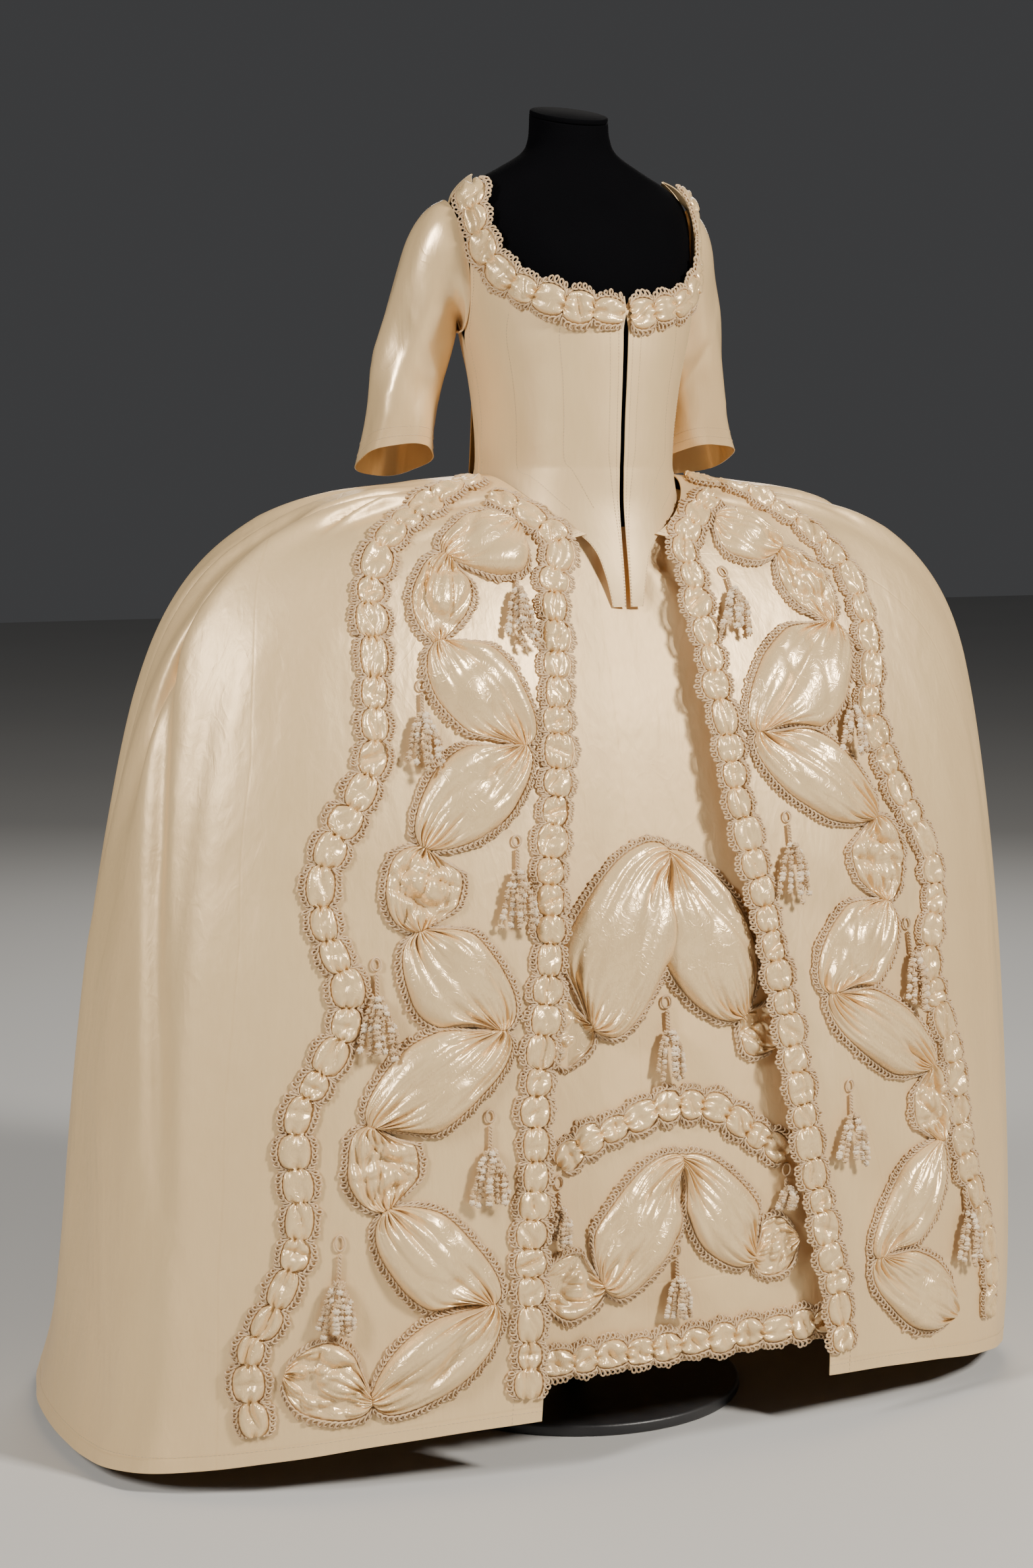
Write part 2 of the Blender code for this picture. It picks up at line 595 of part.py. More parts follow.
def build_petticoat():
    """The petticoat, a tube from the waist to its own hem."""
    surface = Surface(PETTICOAT_RINGS)
    turns = [360 * k / PETTICOAT_SIDES for k in range(PETTICOAT_SIDES)]
    rows = []
    for i in range(PETTICOAT_ROWS + 1):
        drop = i / PETTICOAT_ROWS
        row = [(surface.point(turn, drop), surface.normal(turn, drop)) for turn in turns]
        rows.append([*row, row[0]])
    tree = wall("petticoat", rows, SATIN, closed=True)
    return Panel(surface, tree, PETTICOAT_LIFT)


def edge_turns(surface, knots, side):
    """The turn of the robe's front edge as a function of the drop, from its band's middle line."""
    found = [surface.find(across - side * EDGE_INSET, height) for across, height in knots]
    turns, drops = zip(*found)
    return lambda drop: float(np.interp(drop, drops, turns))


def build_skirt(name, surface, knots, side):
    """One side of the open skirt, from its front edge to the seam with the loose back."""
    edge = edge_turns(surface, knots, side)
    rows = []
    for i in range(SKIRT_ROWS + 1):
        drop = skirt_drop(i)
        row = []
        for j in range(SKIRT_COLUMNS + 1):
            turn = edge(drop) + (side * BACK_SEAM_TURN - edge(drop)) * (j / SKIRT_COLUMNS) ** 0.75
            row.append((surface.point(turn, drop), surface.normal(turn, drop)))
        rows.append(drawn_in(row, first=0))
    return Panel(surface, wall(name, rows, SATIN), ROBE_LIFT)


def build_sack(robe):
    """The loose back with its two double box pleats."""
    sack = Sack(robe)
    reaches = [-row.reach for row in PLEATS[:0:-1]] + [row.reach for row in PLEATS]
    falls = [WAIST_FALL * i / SACK_UPPER_ROWS for i in range(SACK_UPPER_ROWS)]
    falls += [WAIST_FALL + (1 - WAIST_FALL) * skirt_drop(i) for i in range(SKIRT_ROWS + 1)]
    rows = []
    for fall in falls:
        row = [(sack.point(reach, fall), sack.normal(reach, fall)) for reach in reaches]
        rows.append(drawn_in(row, SACK_GAP, SACK_GAP))
    wall("sack_back", rows, SATIN)


def build_bodice_front(name, body, side):
    rows = []
    for line in FRONT_ROWS:
        row = []
        for j in range(BODICE_COLUMNS + 1):
            share = j / BODICE_COLUMNS
            turn = side * (line.inner_turn + (line.outer_turn - line.inner_turn) * share)
            height = line.inner_height + (line.outer_height - line.inner_height) * share
            row.append((body.point(turn, height), body.normal(turn, height)))
        rows.append(row)
    return Panel(body, wall(name, rows, SATIN), BODICE_LIFT)


def build_bodice_back(body):
    """The fitted back under the loose one, in one piece from side seam to side seam."""
    reaches = (1.0, 0.9, 0.8, 0.6, 0.4, 0.2, 0.0)
    rows = []
    for line in BACK_ROWS:
        half = []
        for reach in reaches:
            knots = (0.0, 0.8, 1.0)
            turn = np.interp(reach, knots, (180.0, line.strap_turn, line.edge_turn))
            height = np.interp(reach, knots, (line.centre_height, line.strap_height, line.edge_height))
            half.append((float(turn), float(height)))
        places = half + [(360 - turn, height) for turn, height in half[-2::-1]]
        rows.append([(body.point(*place), body.normal(*place)) for place in places])
    wall("bodice_back", rows, SATIN)


def build_sleeve(name, side):
    """An elbow-length sleeve, open at the armhole and at the cuff."""
    rows = []
    for line in SLEEVE_ROWS:
        lean, dip = radians(line.lean), radians(line.dip)
        long = Vector((side * sin(lean), 0, cos(lean)))
        deep = Vector((0, cos(dip), -sin(dip)))
        middle = Vector((side * line.across, line.back, line.height))
        row = []
        for k in range(SLEEVE_SIDES):
            angle = 2 * pi * k / SLEEVE_SIDES
            outward = (cos(angle) / line.long * long + sin(angle) / line.deep * deep).normalized()
            place = middle + line.long * cos(angle) * long + line.deep * sin(angle) * deep
            place.x -= side * line.saddle * sin(angle) ** 2
            row.append((place, outward))
        rows.append([*row, row[0]])
    wall(name, rows, LINING, closed=True)


class Route:
    """A smooth line on a panel through knots, walked by length."""

    def __init__(self, panel, knots, steps=10):
        self.panel = panel
        surface = panel.surface
        found = [TrackRow(*surface.find(*knot)) for knot in knots]
        self.track = [smooth(found, k / steps) for k in range((len(found) - 1) * steps + 1)]
        places = [surface.point(row.turn, row.drop) for row in self.track]
        lengths = [(b - a).length for a, b in zip(places, places[1:])]
        self.miles = np.concatenate([[0.0], np.cumsum(lengths)])
        self.length = float(self.miles[-1])

    def place(self, mile):
        turn = float(np.interp(mile, self.miles, [row.turn for row in self.track]))
        drop = float(np.interp(mile, self.miles, [row.drop for row in self.track]))
        return self.panel.surface.point(turn, drop), self.panel.surface.normal(turn, drop)

    def heading(self, mile, reach=0.004):
        after = self.place(min(mile + reach, self.length))[0]
        return (after - self.place(max(mile - reach, 0))[0]).normalized()


def seated_section(panel, place, normal, heading, left, right, high, shape, lift):
    """A closed section across a heading: its shape's points seated on the panel, then raised."""
    to_left = normal.cross(heading).normalized()

    def seated(reach, raised):
        aside = place + to_left * (left if reach < 0 else right) * -reach
        return panel.seat(aside, normal, raised)

    for outer in (-1, 1):
        middle = (seated(outer, 0) + seated(0, 0)) / 2
        lift = max(lift, lift + (panel.seat(middle, normal, 0) - middle).dot(normal))
    return [seated(reach, lift + share * high) for reach, share in shape]


def build_band(name, panel, knots, puffs):
    """A narrow band drawn in at even steps, which leaves a puff between each two."""
    route = Route(panel, knots)
    count = puffs * BAND_STEPS
    sections = []
    for k in range(count + 1):
        mile = route.length * k / count
        place, normal = route.place(mile)
        heading = route.heading(mile)
        pinched = k % BAND_STEPS == 0
        half = BAND_WIDTH / 2 * (BAND_PINCH if pinched else 1)
        high = BAND_LOFT * (BAND_PINCH_LOFT if pinched else 1)
        section = seated_section(panel, place, normal, heading, half, half, high, BAND_SECTION, panel.lift)
        sections.append(section)
    loft(name, sections, SATIN)


def build_festoon(name, panel, knots):
    """A wide band gathered tight at its knots, which leaves large puffs between them."""
    surface = panel.surface
    found = [surface.find(knot.across, knot.height) for knot in knots]
    places = [surface.point(*spot) for spot in found]
    chords = [(b - a).normalized() for a, b in zip(places, places[1:])]
    lift = panel.lift + PUFF_EXTRA_LIFT
    sections = []
    for i, chord in enumerate(chords):
        before, after = chords[max(i - 1, 0)], chords[min(i + 1, len(chords) - 1)]
        length = (places[i + 1] - places[i]).length
        for share in PUFF_STATIONS:
            turn, drop = (a + (b - a) * share for a, b in zip(found[i], found[i + 1]))
            beside = before if share < 0.5 else after
            blend = max(0.0, 0.5 - 1.6 * min(share, 1 - share))
            heading = chord.lerp(beside, blend).normalized()
            span = min(share, 1 - share) * length
            full = sin(pi * share) ** 0.5
            widest = KNOT_HALF + KNOT_OPENING * span
            left, right = (min(widest, max(KNOT_HALF, side * full)) for side in knots[i][2:4])
            high = KNOT_LOFT + (knots[i].loft - KNOT_LOFT) * full
            place, normal = surface.point(turn, drop), surface.normal(turn, drop)
            size = (left, right, high)
            sections.append(seated_section(panel, place, normal, heading, *size, PUFF_SECTION, lift))
    normal = surface.normal(*found[-1])
    knot = (KNOT_HALF, KNOT_HALF, KNOT_LOFT)
    sections.append(seated_section(panel, places[-1], normal, chords[-1], *knot, PUFF_SECTION, lift))
    loft(name, sections, SATIN)


def build_tassel(panel, row):
    """A fly-fringe tassel: a knotted stem with its strands fused to it and hanging apart."""
    surface = panel.surface
    top = surface.point(*surface.find(row.across, row.height))
    spot = surface.find(row.end_across, row.end_height)
    end, normal = surface.point(*spot), surface.normal(*spot)
    down = (end - top).normalized()
    aside = down.cross(normal).normalized()
    out = aside.cross(down).normalized()
    length = (end - top).length
    stem, bunch = TASSEL_STEM * length, row.half
    bm = bmesh.new()
    bmesh.ops.create_cone(
        bm, cap_ends=True, segments=STRANDS, radius1=TASSEL_HEAD * bunch, radius2=TASSEL_TOP, depth=stem
    )
    under = min(bm.faces, key=lambda face: face.calc_center_median().z)
    roots = bmesh.ops.poke(bm, faces=[under])["faces"]
    for spread, swell in TASSEL_STEPS:
        for k, root in enumerate(roots):
            made = bmesh.ops.extrude_discrete_faces(bm, faces=[root])["faces"][0]
            middle = made.calc_center_median()
            side = Vector((middle.x, middle.y, 0)).normalized()
            fall = (length - stem) * (STRAND_LONG if k % 2 else STRAND_SHORT)
            for vert in made.verts:
                vert.co = middle + (vert.co - middle) * swell
                vert.co += side * spread * bunch - Vector((0, 0, fall))
            roots[k] = made
    frame = Matrix((aside, TASSEL_DEPTH * out, -down)).transposed().to_4x4()
    frame.translation = top + down * stem / 2 + out * bunch
    bm.transform(frame)
    nearest = min((vert.co - panel.seat(vert.co, out, 0)).dot(out) for vert in bm.verts)
    bmesh.ops.translate(bm, verts=bm.verts, vec=out * (TASSEL_LIFT - nearest))
    add_object(row.name, bm, BRAID)


def main():
    for old in list(bpy.data.objects):
        bpy.data.objects.remove(old, do_unlink=True)
    gown = bpy.data.collections.new("robe_a_la_francaise")
    bpy.context.scene.collection.children.link(gown)
    build_form()
    petticoat = build_petticoat()
    robe = Surface(ROBE_RINGS, ROBE_FOLDS)
    body = BodySurface()
    build_sack(robe)
    build_bodice_back(body)
    sides = (
        ("right", -1, WAIST_RIGHT, EDGE_RIGHT, OUTER_RIGHT, FESTOON_RIGHT, ROBE_TASSELS[:6]),
        ("left", 1, WAIST_LEFT, EDGE_LEFT, OUTER_LEFT, FESTOON_LEFT, ROBE_TASSELS[6:]),
    )
    for side_name, side, waist, edge, outer, festoon, tassels in sides:
        skirt = build_skirt(f"skirt_{side_name}", robe, edge, side)
        front = build_bodice_front(f"bodice_{side_name}", body, side)
        build_sleeve(f"sleeve_{side_name}", side)
        build_band(f"edge_band_{side_name}", skirt, waist + edge, EDGE_PUFFS)
        build_band(f"outer_band_{side_name}", skirt, outer, OUTER_PUFFS)
        neckline = [(side * across, height) for across, height in NECKLINE]
        build_band(f"neck_band_{side_name}", front, neckline, NECK_PUFFS)
        build_festoon(f"festoon_{side_name}", skirt, festoon)
        for row in tassels:
            build_tassel(skirt, row)
    build_band("petticoat_arch_band", petticoat, ARCH, ARCH_PUFFS)
    build_band("petticoat_hem_band", petticoat, HEM_BAND, HEM_PUFFS)
    build_festoon("petticoat_upper_festoon", petticoat, UPPER_FESTOON)
    build_festoon("petticoat_lower_festoon", petticoat, LOWER_FESTOON)
    for row in PETTICOAT_TASSELS:
        build_tassel(petticoat, row)


main()
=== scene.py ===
"""The look of a cream satin robe a la francaise on the dress form that it stands on.

It loads the fixed solids, hangs fine cloth on the same forms, sews on the gathered trimmings with their
looped braid and tassels, gives every piece its finish, and sets up the floor, the light and the camera.

Metres, +Z up. The wearer looks along -Y and +X is the wearer's left. A turn is measured round the body in
degrees, 0 at the centre front and positive towards the wearer's left. A drop runs down a skirt, 0 at the
waist and 1 at the hem.
"""

import logging
from collections.abc import Sequence
from dataclasses import dataclass
from enum import Enum
from math import radians
from typing import NamedTuple

import bmesh
import bpy
import numpy as np
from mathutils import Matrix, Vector


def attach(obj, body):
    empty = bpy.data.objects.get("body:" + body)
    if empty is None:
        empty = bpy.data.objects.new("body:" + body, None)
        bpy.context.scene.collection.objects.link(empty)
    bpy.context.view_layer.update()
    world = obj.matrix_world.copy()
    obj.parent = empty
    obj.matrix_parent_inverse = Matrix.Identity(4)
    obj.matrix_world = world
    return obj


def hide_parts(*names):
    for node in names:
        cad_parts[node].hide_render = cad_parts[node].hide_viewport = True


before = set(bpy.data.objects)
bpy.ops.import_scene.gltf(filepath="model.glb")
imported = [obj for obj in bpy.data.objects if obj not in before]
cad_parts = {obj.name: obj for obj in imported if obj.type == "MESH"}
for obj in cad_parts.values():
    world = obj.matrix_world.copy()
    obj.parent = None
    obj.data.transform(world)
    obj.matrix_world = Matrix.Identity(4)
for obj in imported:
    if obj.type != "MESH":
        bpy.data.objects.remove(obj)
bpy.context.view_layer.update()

LOG = logging.getLogger("robe")
Array = np.ndarray

# How fast a fold opens at its top and runs out at its end
FOLD_OPENING, FOLD_ENDING = 5, 2


class Ring(NamedTuple):
    """One ring of a skirt's cloth: its heights, half widths and depths in metres, and how square it is."""

    front_z: float
    side_z: float
    back_z: float
    right: float
    left: float
    front: float
    back: float
    square: float


class Body(NamedTuple):
    """One section of the dress form."""

    height: float
    half: float
    front: float
    back: float
    square: float


class Fold(NamedTuple):
    """A fold of the cloth: its side, its two ends, its spread in degrees and its depth."""

    side: float
    turn_top: float
    drop_top: float
    turn_end: float
    drop_end: float
    spread: float
    depth: float

    def along(self, drop: Array) -> Array:
        """How far down the fold each drop is, from 0 to 1."""
        return (drop - self.drop_top) / (self.drop_end - self.drop_top)

    def middle(self, drop: Array) -> Array:
        """The turn of the fold's line at each drop."""
        return self.turn_top + (self.turn_end - self.turn_top) * self.along(drop)

    def opened(self, drop: Array) -> Array:
        """The share of its depth that the fold has at each drop."""
        along = self.along(drop)
        return np.clip(FOLD_OPENING * along, 0, 1) * np.clip(FOLD_ENDING * (1 - along), 0, 1)


class Wave(NamedTuple):
    """A slow wave of the cloth: its height, its change with the turn and with the place, and its start."""

    size: float
    by_turn: float
    by_place: float
    start: float

    def at(self, turn: Array, place: Array) -> Array:
        """How far the wave raises the cloth."""
        return self.size * np.sin(self.by_turn * turn + self.by_place * place + self.start)


class SackRow(NamedTuple):
    """One row of the loose back above the waist."""

    height: float
    half: float
    back: float
    bow: float


class Pleat(NamedTuple):
    """The height of the pleated cloth at a reach from the centre back."""

    reach: float
    lift: float


class FrontRow(NamedTuple):
    """One row of a bodice front, from its centre edge to its outer edge."""

    inner_turn: float
    inner_height: float
    outer_turn: float
    outer_height: float


class BackRow(NamedTuple):
    """One row of half the bodice back."""

    edge_turn: float
    edge_height: float
    strap_turn: float
    strap_height: float
    centre_height: float


class SleeveRow(NamedTuple):
    """One oval section of a sleeve: its middle, its two radii, its tilts and its hollow."""

    across: float
    back: float
    height: float
    long: float
    deep: float
    lean: float
    dip: float
    saddle: float


class Knot(NamedTuple):
    """A knot of a festoon, with the half widths and the loft of the puff that starts there."""

    across: float
    height: float
    left: float
    right: float
    loft: float


class Tassel(NamedTuple):
    """Where a tassel hangs, where it ends and half the width of its bunch."""

    name: str
    across: float
    height: float
    end_across: float
    end_height: float
    half: float


class Drawing(NamedTuple):
    """How a puff is drawn in: its gathers' reach, and the number, depths and widths of its crumples."""

    reach: float
    crumples: int
    depths: tuple[float, float]
    widths: tuple[float, float]


class Cut(Enum):
    """How a puff of a festoon is drawn in: full, or in tight ruches."""

    FULL = Drawing(1.0, 5, (0.0016, 0.0046), (0.12, 0.26))
    RUCHED = Drawing(1.3, 11, (0.0032, 0.0075), (0.07, 0.12))


# Cloth and the dress form, as in the part's source
SEAM_GAP, CAP_THICK, CAP_SLANT = 0.0003, 0.004, 16.0
POLE_RADIUS, BASE_RADIUS, BASE_THICK = 0.016, 0.200, 0.014
FORM_LEAN = 0.018
BACK_SEAM_TURN, EDGE_INSET, WAIST_FALL, HEM_TURN_UP = 128.0, 0.018, 0.24, 0.015
BODICE_EASE, TAB_TOP, TAB_TIP, TAB_RIDE = 0.0060, 1.100, 0.945, 0.027
SHOULDER, SHOULDER_TOP, SHOULDER_RIDE = 1.360, 1.422, 0.0025
KNOT_HALF, KNOT_LOFT = 0.010, 0.009
EDGE_PUFFS, OUTER_PUFFS, ARCH_PUFFS, HEM_PUFFS, NECK_PUFFS = 32, 32, 10, 12, 8
NECK_TOP = (0.1355, 1.411)

# How a skirt's cloth drifts between its folds, the train's own folds, and the drags of the bodice
SWAYS = (Wave(1.0, 0.11, 2.3, 0.0), Wave(0.6, 0.23, -3.1, 1.0), Wave(0.35, 0.47, 5.0, 2.0))
TRAIN_FOLDS, PLEAT_OPENING = Wave(0.005, 9.5, 1.3, 0.4), 0.45
BUST_DRAG, BUST_TURN, BUST_SPREAD = Wave(0.0007, 0.05, 46, 0.0), 30, 22
WAIST_DRAG, WAIST_DRAG_HEIGHT, WAIST_DRAG_SPREAD = Wave(0.0008, 0.16, 30, 0.0), 1.12, 0.05
PETTICOAT_DRIFT, PETTICOAT_SAG = 0.0012, 0.35

# How the puffs of bands and festoons are rounded, and how far they lie off the cloth
DOME_EDGE, BAND_FLAT, FESTOON_FLAT = 0.55, 4.5, 4.4
PUFF_ROUND, FESTOON_ROUND, BELLY_DRIFT, ROUNDED_OFF = 0.42, 0.45, 0.9, 0.006
BAND_RISE, FESTOON_RISE = 0.0007, 0.0008
BAND_WIDTH = 0.034

# A festoon's gathers, the half width from which creases are full, and how sharp gathers and folds are
GATHERS, GATHER_WIDTHS, GATHER_REACHES, GATHER_DEPTHS = 9, (0.055, 0.085), (0.14, 0.40), (0.0055, 0.0125)
FULL_CREASES, GATHER_CRISP, FOLD_CRISP = 0.024, 1.4, 1.3

# The most that a wave's random start may be, in radians
ANY_START = 6.3

# A stitch's arch, and a tuft's ends along their length, with the sizes that they may have
STITCH_ARCH = np.array([0.1, 1.5, 0.1])
TUFT_REACHES, TUFT_SPREAD = (0.0026, 0.0040), np.array([-1.0, -0.45, 0.45, 1.0])
TUFT_CURL = 0.0015 * np.array([-1.0, 0.9, 0.9, -1.0])

# How closely points lie towards the waist and the front edge, and the rows where stitches run or end
DROP_SPACING, PETTICOAT_SPACING, TURN_SPACING = 1.12, 1.1, 0.85
NECK_ROW, SEAM_ROW, CUFF_ROWS = 11, 4, (-5, -8)

# Steps of the search for a place on a form, and of a line's heading
HALVINGS, HEADING_STEP = 32, 0.006

# The dress form's middle, and the least angles that stay sharp on cloth and on hard pieces
FORM_MIDDLE = np.array([0, FORM_LEAN, 1.2])
CLOTH_EDGE, HARD_EDGE = radians(70), radians(35)

# Where the unevenness of each kind of trimming starts
ROBE_FESTOON_SEED, ROBE_TASSEL_SEED = 40, 100
PETTICOAT_BAND_SEED, PETTICOAT_FESTOON_SEED, PETTICOAT_TASSEL_SEED = 60, 70, 130

ROBE_RINGS = [
    Ring(1.016, 1.091, 1.087, 0.119, 0.119, 0.125, 0.131, 2.2),
    Ring(1.006, 1.08, 1.066, 0.2, 0.2, 0.128, 0.142, 2.3),
    Ring(0.975, 1.066, 1.04, 0.3, 0.3, 0.142, 0.154, 2.4),
    Ring(0.945, 1.042, 1.008, 0.37, 0.37, 0.155, 0.167, 2.5),
    Ring(0.905, 0.995, 0.962, 0.44, 0.435, 0.17, 0.182, 2.6),
    Ring(0.85, 0.93, 0.9, 0.49, 0.482, 0.19, 0.202, 2.6),
    Ring(0.78, 0.84, 0.815, 0.525, 0.512, 0.208, 0.228, 2.6),
    Ring(0.68, 0.715, 0.7, 0.553, 0.535, 0.228, 0.264, 2.6),
    Ring(0.54, 0.555, 0.55, 0.578, 0.552, 0.248, 0.312, 2.6),
    Ring(0.38, 0.38, 0.38, 0.595, 0.562, 0.265, 0.37, 2.6),
    Ring(0.22, 0.21, 0.2, 0.605, 0.567, 0.278, 0.434, 2.6),
    Ring(0.12, 0.095, 0.08, 0.613, 0.566, 0.284, 0.49, 2.6),
    Ring(0.067, 0.014, 0.003, 0.628, 0.56, 0.287, 0.54, 2.6),
]

PETTICOAT_RINGS = [
    Ring(1.032, 1.077, 1.072, 0.113, 0.113, 0.111, 0.098, 2.2),
    Ring(0.996, 1.059, 1.046, 0.184, 0.184, 0.114, 0.112, 2.3),
    Ring(0.966, 1.046, 1.02, 0.284, 0.284, 0.124, 0.128, 2.4),
    Ring(0.936, 1.02, 0.988, 0.352, 0.35, 0.134, 0.142, 2.5),
    Ring(0.896, 0.972, 0.94, 0.418, 0.412, 0.147, 0.158, 2.6),
    Ring(0.845, 0.912, 0.88, 0.465, 0.457, 0.166, 0.18, 2.6),
    Ring(0.78, 0.832, 0.8, 0.502, 0.49, 0.184, 0.205, 2.6),
    Ring(0.68, 0.71, 0.69, 0.53, 0.513, 0.204, 0.235, 2.6),
    Ring(0.54, 0.552, 0.54, 0.555, 0.53, 0.224, 0.272, 2.6),
    Ring(0.38, 0.382, 0.38, 0.57, 0.54, 0.241, 0.308, 2.6),
    Ring(0.22, 0.22, 0.22, 0.58, 0.545, 0.254, 0.338, 2.6),
    Ring(0.1, 0.1, 0.1, 0.584, 0.545, 0.261, 0.356, 2.6),
]

# Troughs have a negative depth and ridges a positive one
ROBE_FOLDS = [
    Fold(-1, 84, 0.13, 100, 0.66, 6.0, -0.02),
    Fold(-1, 76, 0.16, 88, 0.8, 7.0, 0.009),
    Fold(-1, 112, 0.1, 118, 0.9, 6.5, 0.014),
    Fold(-1, 64, 0.08, 72, 0.34, 5.0, -0.006),
    Fold(1, 82, 0.13, 98, 0.62, 6.0, -0.016),
    Fold(1, 72, 0.16, 84, 0.78, 7.0, 0.008),
    Fold(1, 112, 0.1, 116, 0.92, 6.5, 0.013),
    Fold(1, 62, 0.08, 66, 0.36, 5.0, -0.005),
    Fold(-1, 142, 0.34, 146, 1.05, 6.0, 0.012),
    Fold(1, 144, 0.34, 146, 1.05, 6.0, 0.012),
]

BODY = [
    Body(0.9, 0.1, 0.118, 0.08, 2.2),
    Body(0.96, 0.106, 0.122, 0.082, 2.2),
    Body(1.02, 0.108, 0.122, 0.076, 2.2),
    Body(1.06, 0.108, 0.1235, 0.0715, 2.2),
    Body(1.1, 0.108, 0.1295, 0.07, 2.2),
    Body(1.15, 0.1095, 0.133, 0.07, 2.2),
    Body(1.2, 0.116, 0.137, 0.072, 2.2),
    Body(1.25, 0.128, 0.139, 0.074, 2.2),
    Body(1.3, 0.137, 0.137, 0.074, 2.2),
    Body(1.34, 0.141, 0.126, 0.07, 2.2),
    Body(1.38, 0.145, 0.1, 0.056, 2.2),
    Body(1.405, 0.14, 0.073, 0.046, 2.2),
    Body(1.422, 0.122, 0.058, 0.043, 2.1),
    Body(1.44, 0.088, 0.05, 0.043, 2.1),
    Body(1.458, 0.058, 0.046, 0.044, 2.0),
    Body(1.475, 0.048, 0.045, 0.045, 2.0),
    Body(1.498, 0.046, 0.044, 0.045, 2.0),
]

# Half of the front, from the tip of the tab up to the shoulder seam
FRONT_ROWS = [
    FrontRow(1.0, 0.945, 7.0, 0.945),
    FrontRow(1.0, 0.975, 9.5, 0.975),
    FrontRow(1.0, 1.005, 14.0, 1.005),
    FrontRow(1.0, 1.03, 22.5, 1.034),
    FrontRow(1.0, 1.058, 40.0, 1.058),
    FrontRow(1.0, 1.088, 62.0, 1.08),
    FrontRow(1.0, 1.105, 77.0, 1.091),
    FrontRow(1.0, 1.122, 91.0, 1.098),
    FrontRow(1.0, 1.165, 91.0, 1.15),
    FrontRow(1.0, 1.21, 91.0, 1.2),
    FrontRow(1.0, 1.25, 90.0, 1.245),
    FrontRow(1.0, 1.284, 84.0, 1.275),
    FrontRow(15.6, 1.29, 78.0, 1.31),
    FrontRow(38.0, 1.307, 76.0, 1.345),
    FrontRow(54.0, 1.328, 77.0, 1.37),
    FrontRow(62.5, 1.352, 80.0, 1.388),
    FrontRow(66.5, 1.385, 84.0, 1.398),
    FrontRow(72.0, 1.411, 87.0, 1.402),
    FrontRow(89.5, 1.424, 89.5, 1.404),
]

# The back, from the waist up to the shoulder seams, as edge, strap and centre back
BACK_ROWS = [
    BackRow(91.3, 1.098, 112, 1.098, 1.098),
    BackRow(91.3, 1.15, 112, 1.15, 1.15),
    BackRow(91.3, 1.2, 112, 1.2, 1.205),
    BackRow(92.0, 1.245, 114, 1.25, 1.26),
    BackRow(104.0, 1.285, 120, 1.29, 1.305),
    BackRow(108.0, 1.325, 124, 1.33, 1.345),
    BackRow(105.0, 1.36, 124, 1.37, 1.372),
    BackRow(98.0, 1.386, 118, 1.4, 1.386),
    BackRow(94.0, 1.397, 105, 1.415, 1.392),
    BackRow(90.5, 1.404, 90.5, 1.424, 1.396),
]

# The loose back above the waist: its own line from the neck to the hips
SACK_ROWS = [
    SackRow(1.398, 0.074, 0.08, 0.008),
    SackRow(1.36, 0.078, 0.0975, 0.01),
    SackRow(1.3, 0.082, 0.111, 0.017),
    SackRow(1.2, 0.088, 0.12, 0.025),
    SackRow(1.13, 0.093, 0.126, 0.036),
    SackRow(1.09, 0.098, 0.13, 0.046),
]

# Two double box pleats: the height of the cloth at each reach from the centre back to the edge
PLEATS = [
    Pleat(0.0, 0.0),
    Pleat(0.05, 0.0),
    Pleat(0.08, 0.01),
    Pleat(0.24, 0.011),
    Pleat(0.4, 0.01),
    Pleat(0.43, 0.005),
    Pleat(0.57, 0.0055),
    Pleat(0.71, 0.005),
    Pleat(0.74, 0.0),
    Pleat(0.88, 0.001),
    Pleat(1.0, 0.0),
]

SLEEVE_ROWS = [
    SleeveRow(0.1486, 0.019, 1.327, 0.0745, 0.037, 8, 0, 0.0048),
    SleeveRow(0.1572, 0.027, 1.32, 0.07, 0.042, 17, 0, 0.002),
    SleeveRow(0.167, 0.042, 1.301, 0.049, 0.044, 42, 0, 0.0),
    SleeveRow(0.175, 0.052, 1.262, 0.043, 0.043, 68, 2, 0.0),
    SleeveRow(0.183, 0.06, 1.213, 0.042, 0.0415, 80, 6, 0.0),
    SleeveRow(0.191, 0.065, 1.16, 0.043, 0.043, 86, 14, 0.0),
    SleeveRow(0.199, 0.068, 1.107, 0.0455, 0.0455, 88, 24, 0.0),
]

# Routes of the narrow puffed bands, as across and height on the cloth that they lie on
WAIST_RIGHT = [(-0.144, 1.066), (-0.124, 1.056), (-0.106, 1.043), (-0.092, 1.029)]
WAIST_LEFT = [(0.144, 1.066), (0.124, 1.056), (0.106, 1.042), (0.089, 1.027)]
EDGE_RIGHT = [
    (-0.082, 1.02), (-0.085, 1.0), (-0.107, 0.923), (-0.12, 0.839), (-0.128, 0.755), (-0.145, 0.669),
    (-0.151, 0.585), (-0.163, 0.502), (-0.176, 0.421), (-0.181, 0.338), (-0.19, 0.248), (-0.194, 0.162),
    (-0.197, 0.092),
]
EDGE_LEFT = [
    (0.078, 1.02), (0.074, 1.0), (0.076, 0.95), (0.082, 0.875), (0.088, 0.804), (0.094, 0.735),
    (0.106, 0.668), (0.12, 0.607), (0.133, 0.533), (0.145, 0.461), (0.157, 0.388), (0.169, 0.313),
    (0.182, 0.24), (0.198, 0.167), (0.208, 0.09),
]
